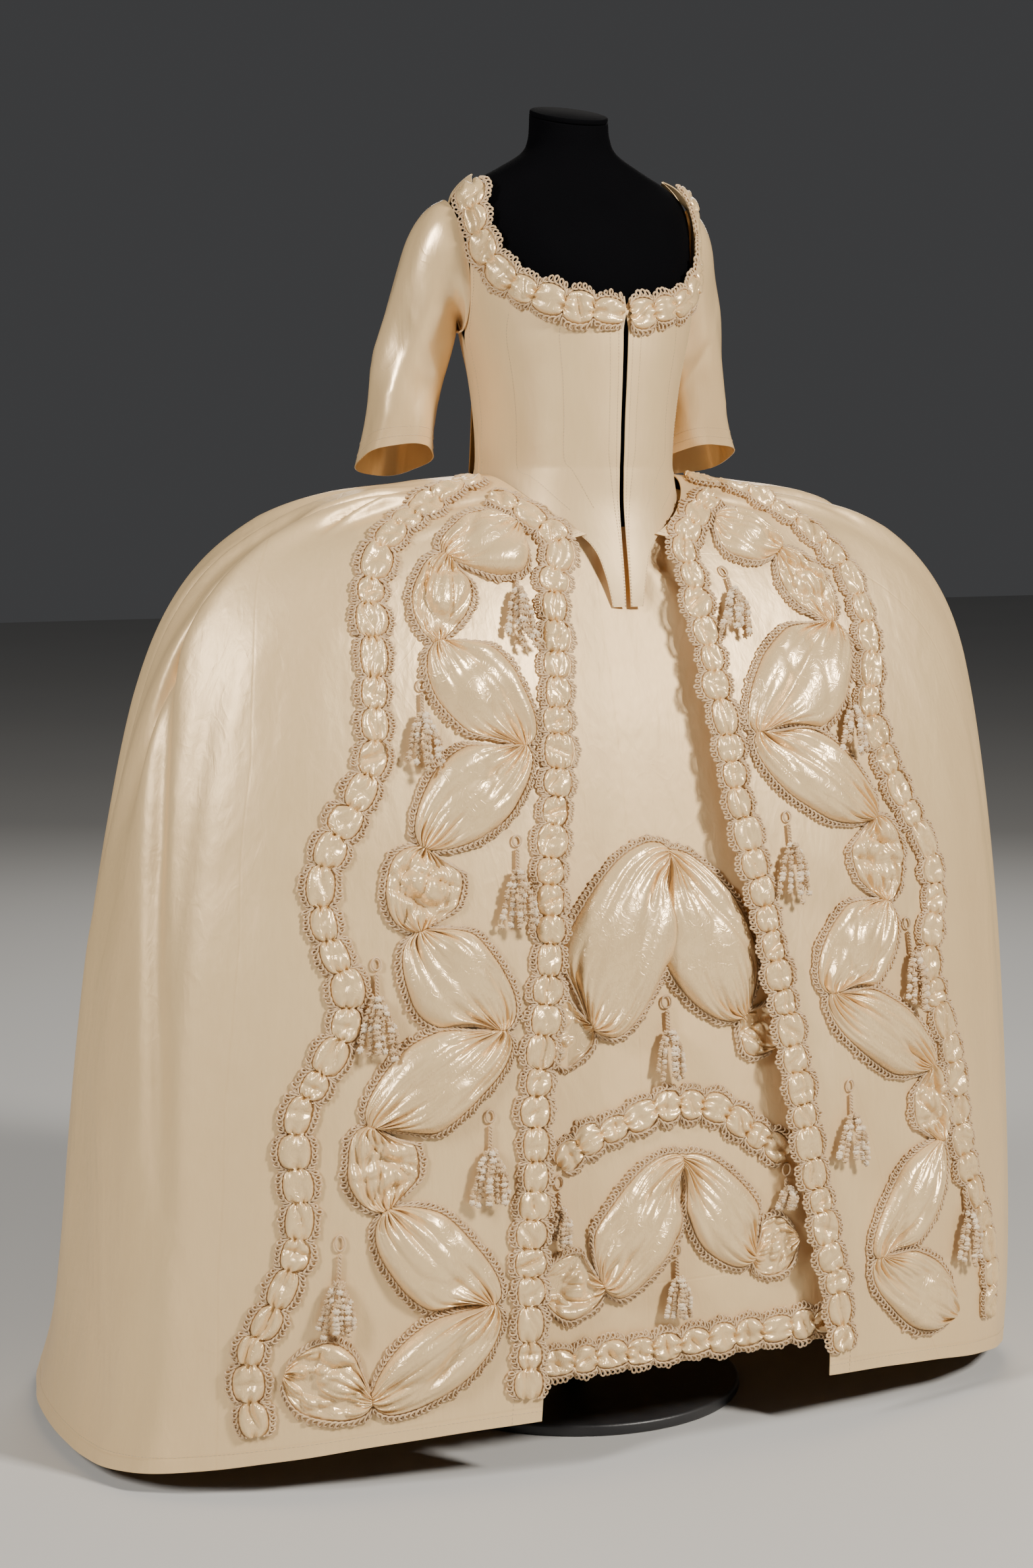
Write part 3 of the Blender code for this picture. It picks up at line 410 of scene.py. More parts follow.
OUTER_RIGHT = [
    (-0.138, 1.085), (-0.183, 1.073), (-0.23, 1.054), (-0.267, 1.032), (-0.294, 1.007), (-0.311, 0.975),
    (-0.319, 0.935), (-0.323, 0.89), (-0.328, 0.84), (-0.334, 0.79), (-0.358, 0.74), (-0.387, 0.695),
    (-0.399, 0.65), (-0.394, 0.6), (-0.379, 0.553), (-0.382, 0.505), (-0.408, 0.46), (-0.433, 0.413),
    (-0.438, 0.363), (-0.436, 0.311), (-0.445, 0.258), (-0.465, 0.208), (-0.486, 0.165), (-0.49, 0.12),
    (-0.487, 0.07),
]
OUTER_LEFT = [
    (0.13, 1.086), (0.165, 1.078), (0.205, 1.066), (0.24, 1.042), (0.268, 1.014), (0.29, 0.985),
    (0.301, 0.945), (0.304, 0.89), (0.296, 0.848), (0.293, 0.81), (0.306, 0.768), (0.327, 0.72),
    (0.35, 0.678), (0.368, 0.637), (0.37, 0.592), (0.36, 0.55), (0.357, 0.51), (0.371, 0.464),
    (0.386, 0.422), (0.394, 0.385), (0.398, 0.338), (0.405, 0.29), (0.425, 0.235), (0.447, 0.18),
    (0.455, 0.125), (0.452, 0.08),
]
ARCH = [
    (-0.14, 0.335), (-0.124, 0.349), (-0.098, 0.363), (-0.069, 0.372), (-0.036, 0.383), (0.0, 0.391),
    (0.04, 0.386), (0.072, 0.374), (0.098, 0.354), (0.126, 0.336), (0.146, 0.316),
]
HEM_BAND = [(-0.205, 0.119), (-0.11, 0.118), (0.0, 0.119), (0.11, 0.12), (0.215, 0.121)]
NECKLINE = [
    (0.004, 1.27), (0.034, 1.2735), (0.07, 1.28), (0.1, 1.294), (0.122, 1.315), (0.1335, 1.342),
    (0.1395, 1.372), (0.1385, 1.401),
]

# Wide gathered festoons: a row for each knot, with the puff that starts there
FESTOON_RIGHT = [
    Knot(-0.128, 1.034, 0.046, 0.034, 0.026),
    Knot(-0.22, 1.0, 0.036, 0.027, 0.02),
    Knot(-0.247, 0.911, 0.052, 0.038, 0.026),
    Knot(-0.167, 0.798, 0.043, 0.045, 0.03),
    Knot(-0.286, 0.693, 0.042, 0.042, 0.022),
    Knot(-0.297, 0.606, 0.047, 0.054, 0.026),
    Knot(-0.215, 0.495, 0.05, 0.042, 0.03),
    Knot(-0.358, 0.399, 0.042, 0.036, 0.022),
    Knot(-0.346, 0.31, 0.042, 0.048, 0.028),
    Knot(-0.238, 0.2, 0.048, 0.028, 0.03),
    Knot(-0.369, 0.105, 0.034, 0.043, 0.02),
    Knot(-0.457, 0.138, 0.0, 0.0, 0.0),
]
FESTOON_LEFT = [
    Knot(0.127, 1.036, 0.031, 0.034, 0.026),
    Knot(0.201, 1.0, 0.026, 0.03, 0.02),
    Knot(0.25, 0.919, 0.054, 0.054, 0.028),
    Knot(0.132, 0.8, 0.04, 0.044, 0.028),
    Knot(0.28, 0.695, 0.038, 0.038, 0.022),
    Knot(0.29, 0.6, 0.048, 0.048, 0.026),
    Knot(0.206, 0.502, 0.036, 0.04, 0.026),
    Knot(0.35, 0.4, 0.026, 0.034, 0.02),
    Knot(0.361, 0.312, 0.042, 0.036, 0.026),
    Knot(0.263, 0.191, 0.035, 0.045, 0.026),
    Knot(0.381, 0.102, 0.0, 0.0, 0.0),
]
UPPER_FESTOON = [
    Knot(-0.157, 0.478, 0.036, 0.036, 0.014),
    Knot(-0.096, 0.486, 0.066, 0.052, 0.034),
    Knot(0.012, 0.668, 0.05, 0.052, 0.034),
    Knot(0.097, 0.482, 0.03, 0.03, 0.014),
    Knot(0.14, 0.446, 0.0, 0.0, 0.0),
]
LOWER_FESTOON = [
    Knot(-0.166, 0.202, 0.036, 0.034, 0.014),
    Knot(-0.094, 0.199, 0.04, 0.046, 0.026),
    Knot(0.01, 0.328, 0.04, 0.04, 0.026),
    Knot(0.1, 0.21, 0.032, 0.032, 0.014),
    Knot(0.158, 0.224, 0.0, 0.0, 0.0),
]

ROBE_TASSELS = [
    Tassel("tassel_right_1", -0.136, 0.985, -0.146, 0.899, 0.013),
    Tassel("tassel_right_2", -0.274, 0.86, -0.277, 0.767, 0.018),
    Tassel("tassel_right_3", -0.182, 0.692, -0.188, 0.597, 0.017),
    Tassel("tassel_right_4", -0.346, 0.567, -0.348, 0.469, 0.019),
    Tassel("tassel_right_5", -0.23, 0.398, -0.235, 0.3, 0.02),
    Tassel("tassel_right_6", -0.397, 0.269, -0.404, 0.176, 0.018),
    Tassel("tassel_left_1", 0.12, 0.975, 0.117, 0.905, 0.016),
    Tassel("tassel_left_2", 0.262, 0.843, 0.26, 0.767, 0.015),
    Tassel("tassel_left_3", 0.158, 0.7, 0.16, 0.607, 0.018),
    Tassel("tassel_left_4", 0.324, 0.565, 0.331, 0.469, 0.014),
    Tassel("tassel_left_5", 0.226, 0.389, 0.224, 0.3, 0.02),
    Tassel("tassel_left_6", 0.403, 0.256, 0.404, 0.158, 0.018),
]
PETTICOAT_TASSELS = [
    Tassel("tassel_petticoat_upper", 0.0, 0.5, 0.0, 0.416, 0.018),
    Tassel("tassel_petticoat_lower", 0.0, 0.222, 0.0, 0.145, 0.016),
    Tassel("tassel_petticoat_right", -0.142, 0.312, -0.144, 0.246, 0.013),
    Tassel("tassel_petticoat_left", 0.147, 0.296, 0.142, 0.254, 0.011),
]

# The rows of a bodice front that end at the waist
WAIST_ROWS = range(3, 8)

# Finer folds than the source's: gathers below the waist, long folds over the hoops and ripples of the train
HIP_FOLD = Fold(-1, 80.0, 0.10, 89.5, 0.60, 2.6, -0.0400)
FINE_FOLDS = [
    HIP_FOLD,
    Fold(-1, 84.6, 0.1, 94.5, 0.62, 2.6, 0.015),
    Fold(-1, 88.0, 0.38, 64, 0.82, 3.0, -0.013),
    Fold(-1, 76.8, 0.09, 85, 0.45, 2.6, 0.008),
    Fold(-1, 96.0, 0.1, 108, 0.74, 1.7, -0.011),
    Fold(-1, 76.0, 0.12, 69, 0.25, 1.5, -0.009),
    Fold(-1, 72.5, 0.12, 66, 0.26, 1.8, 0.007),
    Fold(-1, 79.0, 0.2, 82, 0.44, 3.2, -0.004),
    Fold(1, 81.0, 0.1, 94, 0.56, 1.7, -0.012),
    Fold(1, 85.0, 0.1, 98, 0.62, 2.2, 0.009),
    Fold(1, 94.0, 0.11, 105, 0.7, 1.7, -0.01),
    Fold(1, 73.0, 0.12, 68, 0.26, 1.8, -0.005),
    Fold(-1, 58, 0.02, 60, 0.26, 2.6, -0.004),
    Fold(-1, 70, 0.02, 76, 0.3, 2.4, 0.0034),
    Fold(-1, 80, 0.02, 84, 0.24, 2.2, -0.0042),
    Fold(-1, 90, 0.02, 93, 0.34, 3.0, 0.004),
    Fold(-1, 98, 0.03, 104, 0.4, 3.0, -0.0048),
    Fold(-1, 106, 0.02, 108, 0.3, 2.6, 0.0036),
    Fold(-1, 118, 0.02, 122, 0.46, 3.2, -0.005),
    Fold(-1, 48, 0.05, 50, 0.22, 2.6, 0.0026),
    Fold(-1, 94, 0.3, 99, 1.05, 4.2, 0.005),
    Fold(-1, 104, 0.36, 109, 1.1, 3.6, -0.0055),
    Fold(-1, 122, 0.42, 127, 1.1, 3.8, -0.0062),
    Fold(-1, 66, 0.4, 70, 1.0, 3.8, -0.003),
    Fold(1, 56, 0.02, 58, 0.24, 2.4, -0.0038),
    Fold(1, 67, 0.02, 72, 0.28, 2.4, 0.0036),
    Fold(1, 78, 0.02, 81, 0.26, 2.4, -0.0044),
    Fold(1, 88, 0.02, 92, 0.32, 2.8, 0.004),
    Fold(1, 100, 0.03, 104, 0.42, 3.2, -0.005),
    Fold(1, 110, 0.02, 113, 0.32, 2.6, 0.0036),
    Fold(1, 120, 0.02, 123, 0.48, 3.0, -0.0046),
    Fold(1, 90, 0.32, 95, 1.05, 4.0, -0.0052),
    Fold(1, 102, 0.34, 106, 1.1, 3.8, 0.005),
    Fold(1, 122, 0.4, 126, 1.1, 4.0, -0.0058),
    Fold(1, 62, 0.44, 66, 1.0, 3.6, -0.0028),
    Fold(-1, 152, 0.42, 156, 1.1, 3.6, -0.006),
    Fold(-1, 164, 0.46, 168, 1.1, 3.8, 0.0058),
    Fold(1, 154, 0.42, 157, 1.1, 3.4, -0.0056),
    Fold(1, 168, 0.48, 170, 1.1, 3.8, 0.0062),
]
PETTICOAT_FOLDS = [
    Fold(1, 1, 0.06, 2, 0.4, 1.7, -0.006),
    Fold(1, 6, 0.05, 8, 0.46, 2.0, 0.004),
    Fold(-1, 5, 0.05, 8, 0.44, 2.0, 0.0042),
    Fold(1, 12, 0.05, 13, 0.5, 1.9, -0.0052),
    Fold(-1, 11, 0.05, 13, 0.48, 1.9, -0.0056),
    Fold(1, 19, 0.05, 18, 0.55, 2.2, 0.0036),
    Fold(-1, 18, 0.05, 18, 0.52, 2.2, 0.0038),
    Fold(1, 3, 0.52, 3, 0.98, 2.2, -0.0022),
    Fold(-1, 9, 0.6, 10, 1.04, 2.4, -0.0024),
    Fold(1, 14, 0.62, 14, 1.04, 2.4, 0.0022),
]


@dataclass(frozen=True)
class Side:
    """One side of the robe: its trimmings' routes, its ruched puffs, its tassels and its bands' first seed."""

    name: str
    sign: int
    waist: Sequence[tuple[float, float]]
    edge: Sequence[tuple[float, float]]
    outer: Sequence[tuple[float, float]]
    festoon: Sequence[Knot]
    crushed: tuple[int, ...]
    tassels: Sequence[Tassel]
    band_seed: int

    @property
    def cuts(self) -> list[Cut]:
        """How each puff of the festoon is drawn in."""
        return [Cut.RUCHED if k in self.crushed else Cut.FULL for k in range(len(self.festoon) - 1)]


SIDES = (
    Side("right", -1, WAIST_RIGHT, EDGE_RIGHT, OUTER_RIGHT, FESTOON_RIGHT, (1, 4, 7, 10), ROBE_TASSELS[:6], 1),
    Side("left", 1, WAIST_LEFT, EDGE_LEFT, OUTER_LEFT, FESTOON_LEFT, (1, 4, 7), ROBE_TASSELS[6:], 5),
)


def along_table(rows: Sequence[NamedTuple], place: Array) -> Array:
    """Reads a table at places between its rows, on a smooth curve through all of them.

    Args:
        rows: The table's rows.
        place: Places along it, counted in rows.

    Returns:
        The columns at each place, along a new last axis.
    """
    table = np.array(rows, float)
    last = len(table) - 1
    place = np.asarray(place, float)
    start = np.clip(place.astype(int), 0, last - 1)
    f = (place - start)[..., None]
    a, b, c, d = (table[np.clip(start + step, 0, last)] for step in (-1, 0, 1, 2))
    return 0.5 * (2 * b + (c - a) * f + (2 * a - 5 * b + 4 * c - d) * f**2 + (3 * b - a - 3 * c + d) * f**3)


def at_height(rows: Sequence[NamedTuple], height: Array) -> Array:
    """Reads a table whose first column is a steadily rising height."""
    heights = [row[0] for row in rows]
    return along_table(rows, np.interp(height, heights, np.arange(len(rows))))


def power(value: Array, exponent: Array) -> Array:
    """A power that keeps its base's sign."""
    return np.sign(value) * np.abs(value) ** exponent


def unit(vectors: Array) -> Array:
    """The vectors at length 1."""
    return vectors / np.maximum(np.linalg.norm(vectors, axis=-1, keepdims=True), 1e-12)


def dot(a: Array, b: Array) -> Array:
    """The dot products of two arrays of vectors."""
    return (a * b).sum(-1)


def stacked(*columns: Array) -> Array:
    """Vectors from their coordinates, which are spread to one shape first."""
    return np.stack(np.broadcast_arrays(*columns), -1)


def bell(value: Array, middle: Array, spread: float) -> Array:
    """1 at the middle, falling off smoothly on both sides of it."""
    return np.exp(-(((value - middle) / spread) ** 2))


def walked(spots: Array) -> Array:
    """The length of a line up to each of its points."""
    return np.concatenate([[0.0], np.cumsum(np.linalg.norm(np.diff(spots, axis=0), axis=1))])


def read_along(values: Array, miles: Array, mile: Array) -> Array:
    """The vectors that a line has at some lengths, from those at its points and the points' own lengths."""
    return np.stack([np.interp(mile, miles, values[:, axis]) for axis in range(3)], -1)


def oval(turn: Array, half: Array, front: Array, back: Array, square: Array) -> tuple[Array, Array, Array]:
    """Points of squared ovals round the Z axis.

    Args:
        turn: Turns in degrees.
        half: Half widths.
        front: Depths in front of the axis.
        back: Depths behind it.
        square: How square the ovals are, 2 for an ellipse.

    Returns:
        X, Y and the cosine of the turn.
    """
    s, c = np.sin(np.radians(turn)), np.cos(np.radians(turn))
    depth = np.where(c > 0, front, back)
    return half * power(s, 2 / square), -depth * power(c, 2 / square), c


class Form:
    """A surface that cloth and trimmings lie on, read by a turn and by a second place along it."""

    turn_step = 0.3
    place_step = 0.004
    outward = 1.0

    def bare(self, turn: Array, place: Array) -> Array:
        """The surface without its creases."""
        raise NotImplementedError

    def relief(self, turn: Array, place: Array) -> Array:
        """How far creases raise the surface."""
        return np.zeros(np.broadcast(turn, place).shape)

    def slopes(self, turn: Array, place: Array) -> tuple[Array, Array]:
        """The bare surface's change with the turn and with the place."""
        a, b = self.turn_step, self.place_step
        by_turn = (self.bare(turn + a, place) - self.bare(turn - a, place)) / (2 * a)
        by_place = (self.bare(turn, place + b) - self.bare(turn, place - b)) / (2 * b)
        return by_turn, by_place

    def normal(self, turn: Array, place: Array) -> Array:
        """The bare surface's outward direction."""
        by_turn, by_place = self.slopes(turn, place)
        return unit(np.cross(by_place, by_turn)) * self.outward

    def point(self, turn: Array, place: Array) -> Array:
        """The surface with its creases."""
        return self.bare(turn, place) + self.relief(turn, place)[..., None] * self.normal(turn, place)

    def lay(self, turn: Array, place: Array, aside: Array, lift: Array) -> Array:
        """Points of a trimming that lies on the surface.

        Args:
            turn: Turns of the trimming's own line.
            place: Places of that line.
            aside: How far each point lies from the line, as vectors along the surface.
            lift: How far each point stands off the surface.

        Returns:
            The points.
        """
        by_turn, by_place = self.slopes(turn, place)
        a, b, c = dot(by_turn, by_turn), dot(by_turn, by_place), dot(by_place, by_place)
        p, q = dot(by_turn, aside), dot(by_place, aside)
        spread = a * c - b * b
        turn = turn + (c * p - b * q) / spread
        place = place + (a * q - b * p) / spread
        return self.point(turn, place) + np.asarray(lift)[..., None] * self.normal(turn, place)


@dataclass
class HangingForm(Form):
    """A skirt's surface, from the rings that hold it out and its folds.

    Attributes:
        rings: The rings from the waist to the hem.
        folds: Its folds and creases.
        drift: How far the cloth drifts in and out between its folds, at the hem.
    """

    rings: Sequence[Ring]
    folds: Sequence[Fold] = ()
    drift: float = 0.0022

    def ring_at(self, drop: Array) -> Array:
        """The columns of the ring at each drop, along a new last axis."""
        return along_table(self.rings, drop * (len(self.rings) - 1))

    def bare(self, turn: Array, place: Array) -> Array:
        """The surface without its creases."""
        ring = self.ring_at(np.clip(place, 0, 1))
        front_z, side_z, back_z, right, left, front, back, square = np.moveaxis(ring, -1, 0)
        half = np.where(np.sin(np.radians(turn)) > 0, left, right)
        x, y, c = oval(turn, half, front, back, square)
        return stacked(x, y, side_z + (np.where(c > 0, front_z, back_z) - side_z) * c * c)

    def slopes(self, turn: Array, place: Array) -> tuple[Array, Array]:
        """The bare surface's change with the turn and with the drop, from inside its ends."""
        return super().slopes(turn, np.clip(place, self.place_step, 1 - self.place_step))

    def relief(self, turn: Array, place: Array) -> Array:
        """How far folds and the cloth's own drift raise the surface."""
        total = np.zeros(np.broadcast(turn, place).shape)
        for fold in self.folds:
            off = (fold.side * turn - fold.middle(place)) / fold.spread
            total = total + fold.depth * fold.opened(place) * np.exp(-off * off)
        sway = sum(wave.at(turn, place) for wave in SWAYS)
        return total + self.drift * np.clip(place, 0, 1) * sway

    def find(self, across: Array, height: Array) -> tuple[Array, Array]:
        """The turns and drops of the front's points at these places across and these heights."""
        across, height = np.asarray(across, float), np.asarray(height, float)
        low, high = np.zeros(across.shape), np.ones(across.shape)
        for _ in range(HALVINGS):
            drop = (low + high) / 2
            _, _, _, right, left, _, _, square = np.moveaxis(self.ring_at(drop), -1, 0)
            half = np.where(across > 0, left, right)
            share = np.minimum(np.abs(across) / half, 1)
            turn = np.copysign(np.degrees(np.arcsin(share ** (square / 2))), across)
            above = (np.abs(across) > half) | (self.bare(turn, drop)[..., 2] > height)
            low, high = np.where(above, drop, low), np.where(above, high, drop)
        return turn, drop


@dataclass
class BodyForm(Form):
    """The bodice's surface: an ease outside the dress form, with the tab riding over the petticoat."""

    ease: float = BODICE_EASE

    def __post_init__(self) -> None:
        """Sets the steps for heights in metres."""
        self.place_step = 0.002
        self.outward = -1.0

    def skin(self, turn: Array, place: Array) -> Array:
        """The dress form's own surface."""
        _, half, front, back, square = np.moveaxis(at_height(BODY, place), -1, 0)
        x, y, _ = oval(turn, half, front, back, square)
        return stacked(x, y + FORM_LEAN, place)

    def bare(self, turn: Array, place: Array) -> Array:
        """The bodice's surface without its creases."""
        a, b = self.turn_step, self.place_step
        by_turn = self.skin(turn + a, place) - self.skin(turn - a, place)
        by_place = self.skin(turn, place + b) - self.skin(turn, place - b)
        ride = TAB_RIDE * np.maximum(0, (TAB_TOP - place) / (TAB_TOP - TAB_TIP))
        ride = ride + SHOULDER_RIDE * np.clip((place - SHOULDER) / (SHOULDER_TOP - SHOULDER), 0, 1)
        return self.skin(turn, place) + (self.ease + ride)[..., None] * unit(np.cross(by_turn, by_place))

    def relief(self, turn: Array, place: Array) -> Array:
        """Faint drags across the bust and from the waist."""
        drag = BUST_DRAG.at(turn, place) * bell(np.abs(turn), BUST_TURN, BUST_SPREAD)
        return drag + WAIST_DRAG.at(turn, place) * bell(place, WAIST_DRAG_HEIGHT, WAIST_DRAG_SPREAD)

    def find(self, across: Array, height: Array) -> tuple[Array, Array]:
        """The turns and heights of the front's points at these places across."""
        across, height = np.asarray(across, float), np.asarray(height, float)
        low, high = np.zeros(across.shape), np.full(across.shape, 90.0)
        for _ in range(HALVINGS):
            turn = (low + high) / 2
            inside = self.bare(turn, height)[..., 0] < np.abs(across)
            low, high = np.where(inside, turn, low), np.where(inside, high, turn)
        return np.copysign(turn, across), height


@dataclass
class SackForm(Form):
    """The loose back, which hangs from the neck and becomes the back of the skirt below the waist.

    Its turn is a reach, from -1 at the right edge to 1 at the left one, and its place a fall.
    """

    robe: HangingForm

    def __post_init__(self) -> None:
        """Sets the steps for reaches and falls."""
        self.turn_step = 0.01
        self.place_step = 0.008
        self.outward = -1.0

    def bare(self, turn: Array, place: Array) -> Array:
        """The loose back without its pleats."""
        reach, fall = np.clip(turn, -1, 1), np.clip(place, 0, 1)
        upper = along_table(SACK_ROWS, fall / WAIST_FALL * (len(SACK_ROWS) - 1))
        height, half, back, bow = np.moveaxis(upper, -1, 0)
        loose = stacked(half * reach, back - bow * reach * reach, height)
        around = 180 - (180 - BACK_SEAM_TURN) * reach
        below = self.robe.point(around, np.clip((fall - WAIST_FALL) / (1 - WAIST_FALL), 0, 1))
        return np.where((fall < WAIST_FALL)[..., None] & np.ones(loose.shape, bool), loose, below)

    def slopes(self, turn: Array, place: Array) -> tuple[Array, Array]:
        """The surface's change with the reach and with the fall, from inside its edges."""
        a, b = self.turn_step, self.place_step
        return super().slopes(np.clip(turn, a - 1, 1 - a), np.clip(place, b, 1 - b))

    def relief(self, turn: Array, place: Array) -> Array:
        """The pleats, which open towards the hem, with their own soft folds below."""
        reach = np.abs(turn)
        lift = np.interp(reach, [row.reach for row in PLEATS], [row.lift for row in PLEATS])
        opened = np.clip((place - WAIST_FALL) / (1 - WAIST_FALL), 0, 1)
        soft = TRAIN_FOLDS.at(turn, opened) * opened * (1 - 0.5 * reach)
        return lift * (1 - PLEAT_OPENING * opened) + soft


class Route:
    """A smooth line on a form through knots, walked by length."""

    def __init__(self, form: Form, knots: Sequence[tuple[float, float]], steps: int = 12) -> None:
        """Finds the knots on the form and measures the line.

        Args:
            form: The surface that it lies on.
            knots: Its points, as across and height.
            steps: How many steps to take between two knots.
        """
        across, height = np.array(knots, float).T
        rows = [tuple(row) for row in np.stack(form.find(across, height), -1)]
        track = along_table(rows, np.linspace(0, len(rows) - 1, (len(rows) - 1) * steps + 1))
        self.form = form
        self.turns, self.places = track.T
        self.miles = walked(form.bare(self.turns, self.places))
        self.length = float(self.miles[-1])

    def spot(self, miles: Array) -> tuple[Array, Array]:
        """The turns and places at these lengths along the line."""
        return np.interp(miles, self.miles, self.turns), np.interp(miles, self.miles, self.places)

    def at(self, miles: Array) -> tuple[Array, Array, Array, Array]:
        """The turns, places, headings and outward directions at these lengths along the line."""
        turn, place = self.spot(miles)
        before, after = (
            self.form.bare(*self.spot(np.clip(miles + step, 0, self.length)))
            for step in (-HEADING_STEP, HEADING_STEP)
        )
        return turn, place, unit(after - before), self.form.normal(turn, place)


@dataclass(frozen=True)
class Pattern:
    """How a piece is cut: its rectangle's width, its area over the shown one, and the share of it used."""

    width: float
    fullness: float = 1.0
    share: float = 1.0


PETTICOAT_CUT = Pattern(2.9, 1.25)
SACK_CUT = Pattern(1.5, 1.1)
SKIRT_CUT = Pattern(1.15, 1.1)
FRONT_CUT = Pattern(0.36, 1.03, 0.62)
BACK_CUT = Pattern(0.42, 1.03, 0.8)
SLEEVE_CUT = Pattern(0.34, 1.08, 0.9)
FESTOON_CUT = Pattern(0.14, 1.3)
BAND_CUT = Pattern(1.5 * BAND_WIDTH, 1.2)


class Workroom:
    """Makes meshes, gives them their finish and reports them."""

    def __init__(self) -> None:
        """Starts with no finish made."""
        self.finishes: dict[str, bpy.types.Material] = {}

    def finish(self, finish: "Finish") -> bpy.types.Material:
        """The finish's material, which is made once."""
        if finish.name not in self.finishes:
            self.finishes[finish.name] = finish.make()
        return self.finishes[finish.name]

    def choose(self, piece: bpy.types.Object) -> None:
        """Selects one piece alone and makes it active."""
        bpy.ops.object.select_all(action="DESELECT")
        piece.select_set(True)
        bpy.context.view_layer.objects.active = piece

    def apply(self, piece: bpy.types.Object) -> None:
        """Applies every modifier of a piece."""
        self.choose(piece)
        for modifier in list(piece.modifiers):
            bpy.ops.object.modifier_apply(modifier=modifier.name)

    def skin(
        self, name: str, spots: Array, outward: Array, finish: "Finish", closed: bool = False
    ) -> bpy.types.Object:
        """A surface through a grid of points, which faces outwards.

        Args:
            name: The piece's name.
            spots: The points, row by row.
            outward: Outward directions at the points.
            finish: Its finish.
            closed: Whether its first and last columns meet.

        Returns:
            The piece, with a UV map in metres: along each row, and up from the last row.
        """
        facing = np.cross(spots[1:-1, 2:] - spots[1:-1, :-2], spots[2:, 1:-1] - spots[:-2, 1:-1])
        if dot(facing, outward[1:-1, 1:-1]).sum() < 0:
            spots = spots[:, ::-1]
        rows, columns = spots.shape[:2]
        bpy.ops.object.select_all(action="DESELECT")
        bpy.ops.mesh.primitive_grid_add(x_subdivisions=columns - 1, y_subdivisions=rows - 1, size=1)
        piece = bpy.context.object
        piece.name = piece.data.name = name
        piece.data.vertices.foreach_set("co", spots.astype(np.float32).reshape(-1))
        self.measure_out(piece, spots)
        if closed:
            bpy.ops.object.mode_set(mode="EDIT")
            bpy.ops.mesh.select_all(action="SELECT")
            bpy.ops.mesh.remove_doubles(threshold=1e-6)
            bpy.ops.object.mode_set(mode="OBJECT")
        piece.data.materials.append(self.finish(finish))
        bpy.ops.object.shade_smooth()
        return piece

    def cloth(
        self, name: str, spots: Array, outward: Array, finish: "Finish", thick: float, closed: bool = False
    ) -> bpy.types.Object:
        """A sheet of cloth: a skin with its own thickness behind it."""
        piece = self.skin(name, spots, outward, finish, closed)
        wall = piece.modifiers.new("wall", "SOLIDIFY")
        wall.thickness, wall.offset = thick, -1
        self.apply(piece)
        bpy.ops.object.shade_smooth_by_angle(angle=CLOTH_EDGE)
        return piece

    def settled(self, name: str) -> bpy.types.Object:
        """The primitive that was just added, named, with its place in its mesh."""
        piece = bpy.context.object
        piece.name = piece.data.name = name
        bpy.ops.object.transform_apply(location=True, rotation=True, scale=True)
        return piece

    def bevel(self, piece: bpy.types.Object, width: float, segments: int) -> None:
        """Rounds a hard piece's sharp edges and shades it smooth."""
        modifier = piece.modifiers.new("bevel", "BEVEL")
        modifier.width, modifier.segments, modifier.limit_method = width, segments, "ANGLE"
        self.apply(piece)
        bpy.ops.object.shade_smooth_by_angle(angle=HARD_EDGE)

    def ring_out(self, piece: bpy.types.Object, height: float, share: float) -> None:
        """Widens the end of a rod at this height into a collar, this many times as wide."""
        self.choose(piece)
        bpy.ops.object.mode_set(mode="EDIT")
        bpy.ops.mesh.select_all(action="DESELECT")
        mesh = bmesh.from_edit_mesh(piece.data)
        for face in mesh.faces:
            face.select = abs(face.calc_center_median().z - height) < 1e-5
        mesh.select_flush(True)
        bmesh.update_edit_mesh(piece.data)
        bpy.ops.mesh.inset(thickness=0.0005)
        bpy.ops.mesh.extrude_region_move()
        bpy.ops.transform.resize(value=(share, share, 1), center_override=(0, 0, height))
        bpy.ops.object.mode_set(mode="OBJECT")

    def measure_out(self, piece: bpy.types.Object, spots: Array) -> None:
        """Sets the UV map to metres: the length along each row, and up each column from its last point."""
        along = np.linalg.norm(np.diff(spots, axis=1), axis=2)
        down = np.linalg.norm(np.diff(spots, axis=0), axis=2)
        across = np.concatenate([np.zeros((len(spots), 1)), np.cumsum(along, axis=1)], axis=1)
        height = np.concatenate([np.cumsum(down[::-1], axis=0)[::-1], np.zeros((1, spots.shape[1]))])
        corners = np.empty(len(piece.data.loops), np.int32)
        piece.data.loops.foreach_get("vertex_index", corners)
        places = np.stack([across.reshape(-1), height.reshape(-1)], -1)[corners]
        piece.data.uv_layers[0].data.foreach_set("uv", places.astype(np.float32).reshape(-1))

    def cords(
        self, name: str, lines: Sequence[Array], radius: float, finish: "Finish", sides: int = 0
    ) -> bpy.types.Object:
        """Fine cords through lines of points, as one mesh.

        Args:
            name: The piece's name.
            lines: The points of each cord.
            radius: The cords' radius.
            finish: Their finish.
            sides: How finely the section is rounded, 0 for four sides.

        Returns:
            The piece.
        """
        curve = bpy.data.curves.new(name, "CURVE")
        curve.dimensions = "3D"
        curve.bevel_depth, curve.bevel_resolution = radius, sides
        curve.use_fill_caps = True
        for line in lines:
            spline = curve.splines.new("POLY")
            spline.points.add(len(line) - 1)
            spline.points.foreach_set("co", np.column_stack([line, np.ones(len(line))]).reshape(-1))
        piece = bpy.data.objects.new(name, curve)
        bpy.context.collection.objects.link(piece)
        self.choose(piece)
        bpy.ops.object.convert(target="MESH")
        piece = bpy.context.object
        bpy.ops.object.shade_smooth()
        piece.data.materials.append(self.finish(finish))
        return piece

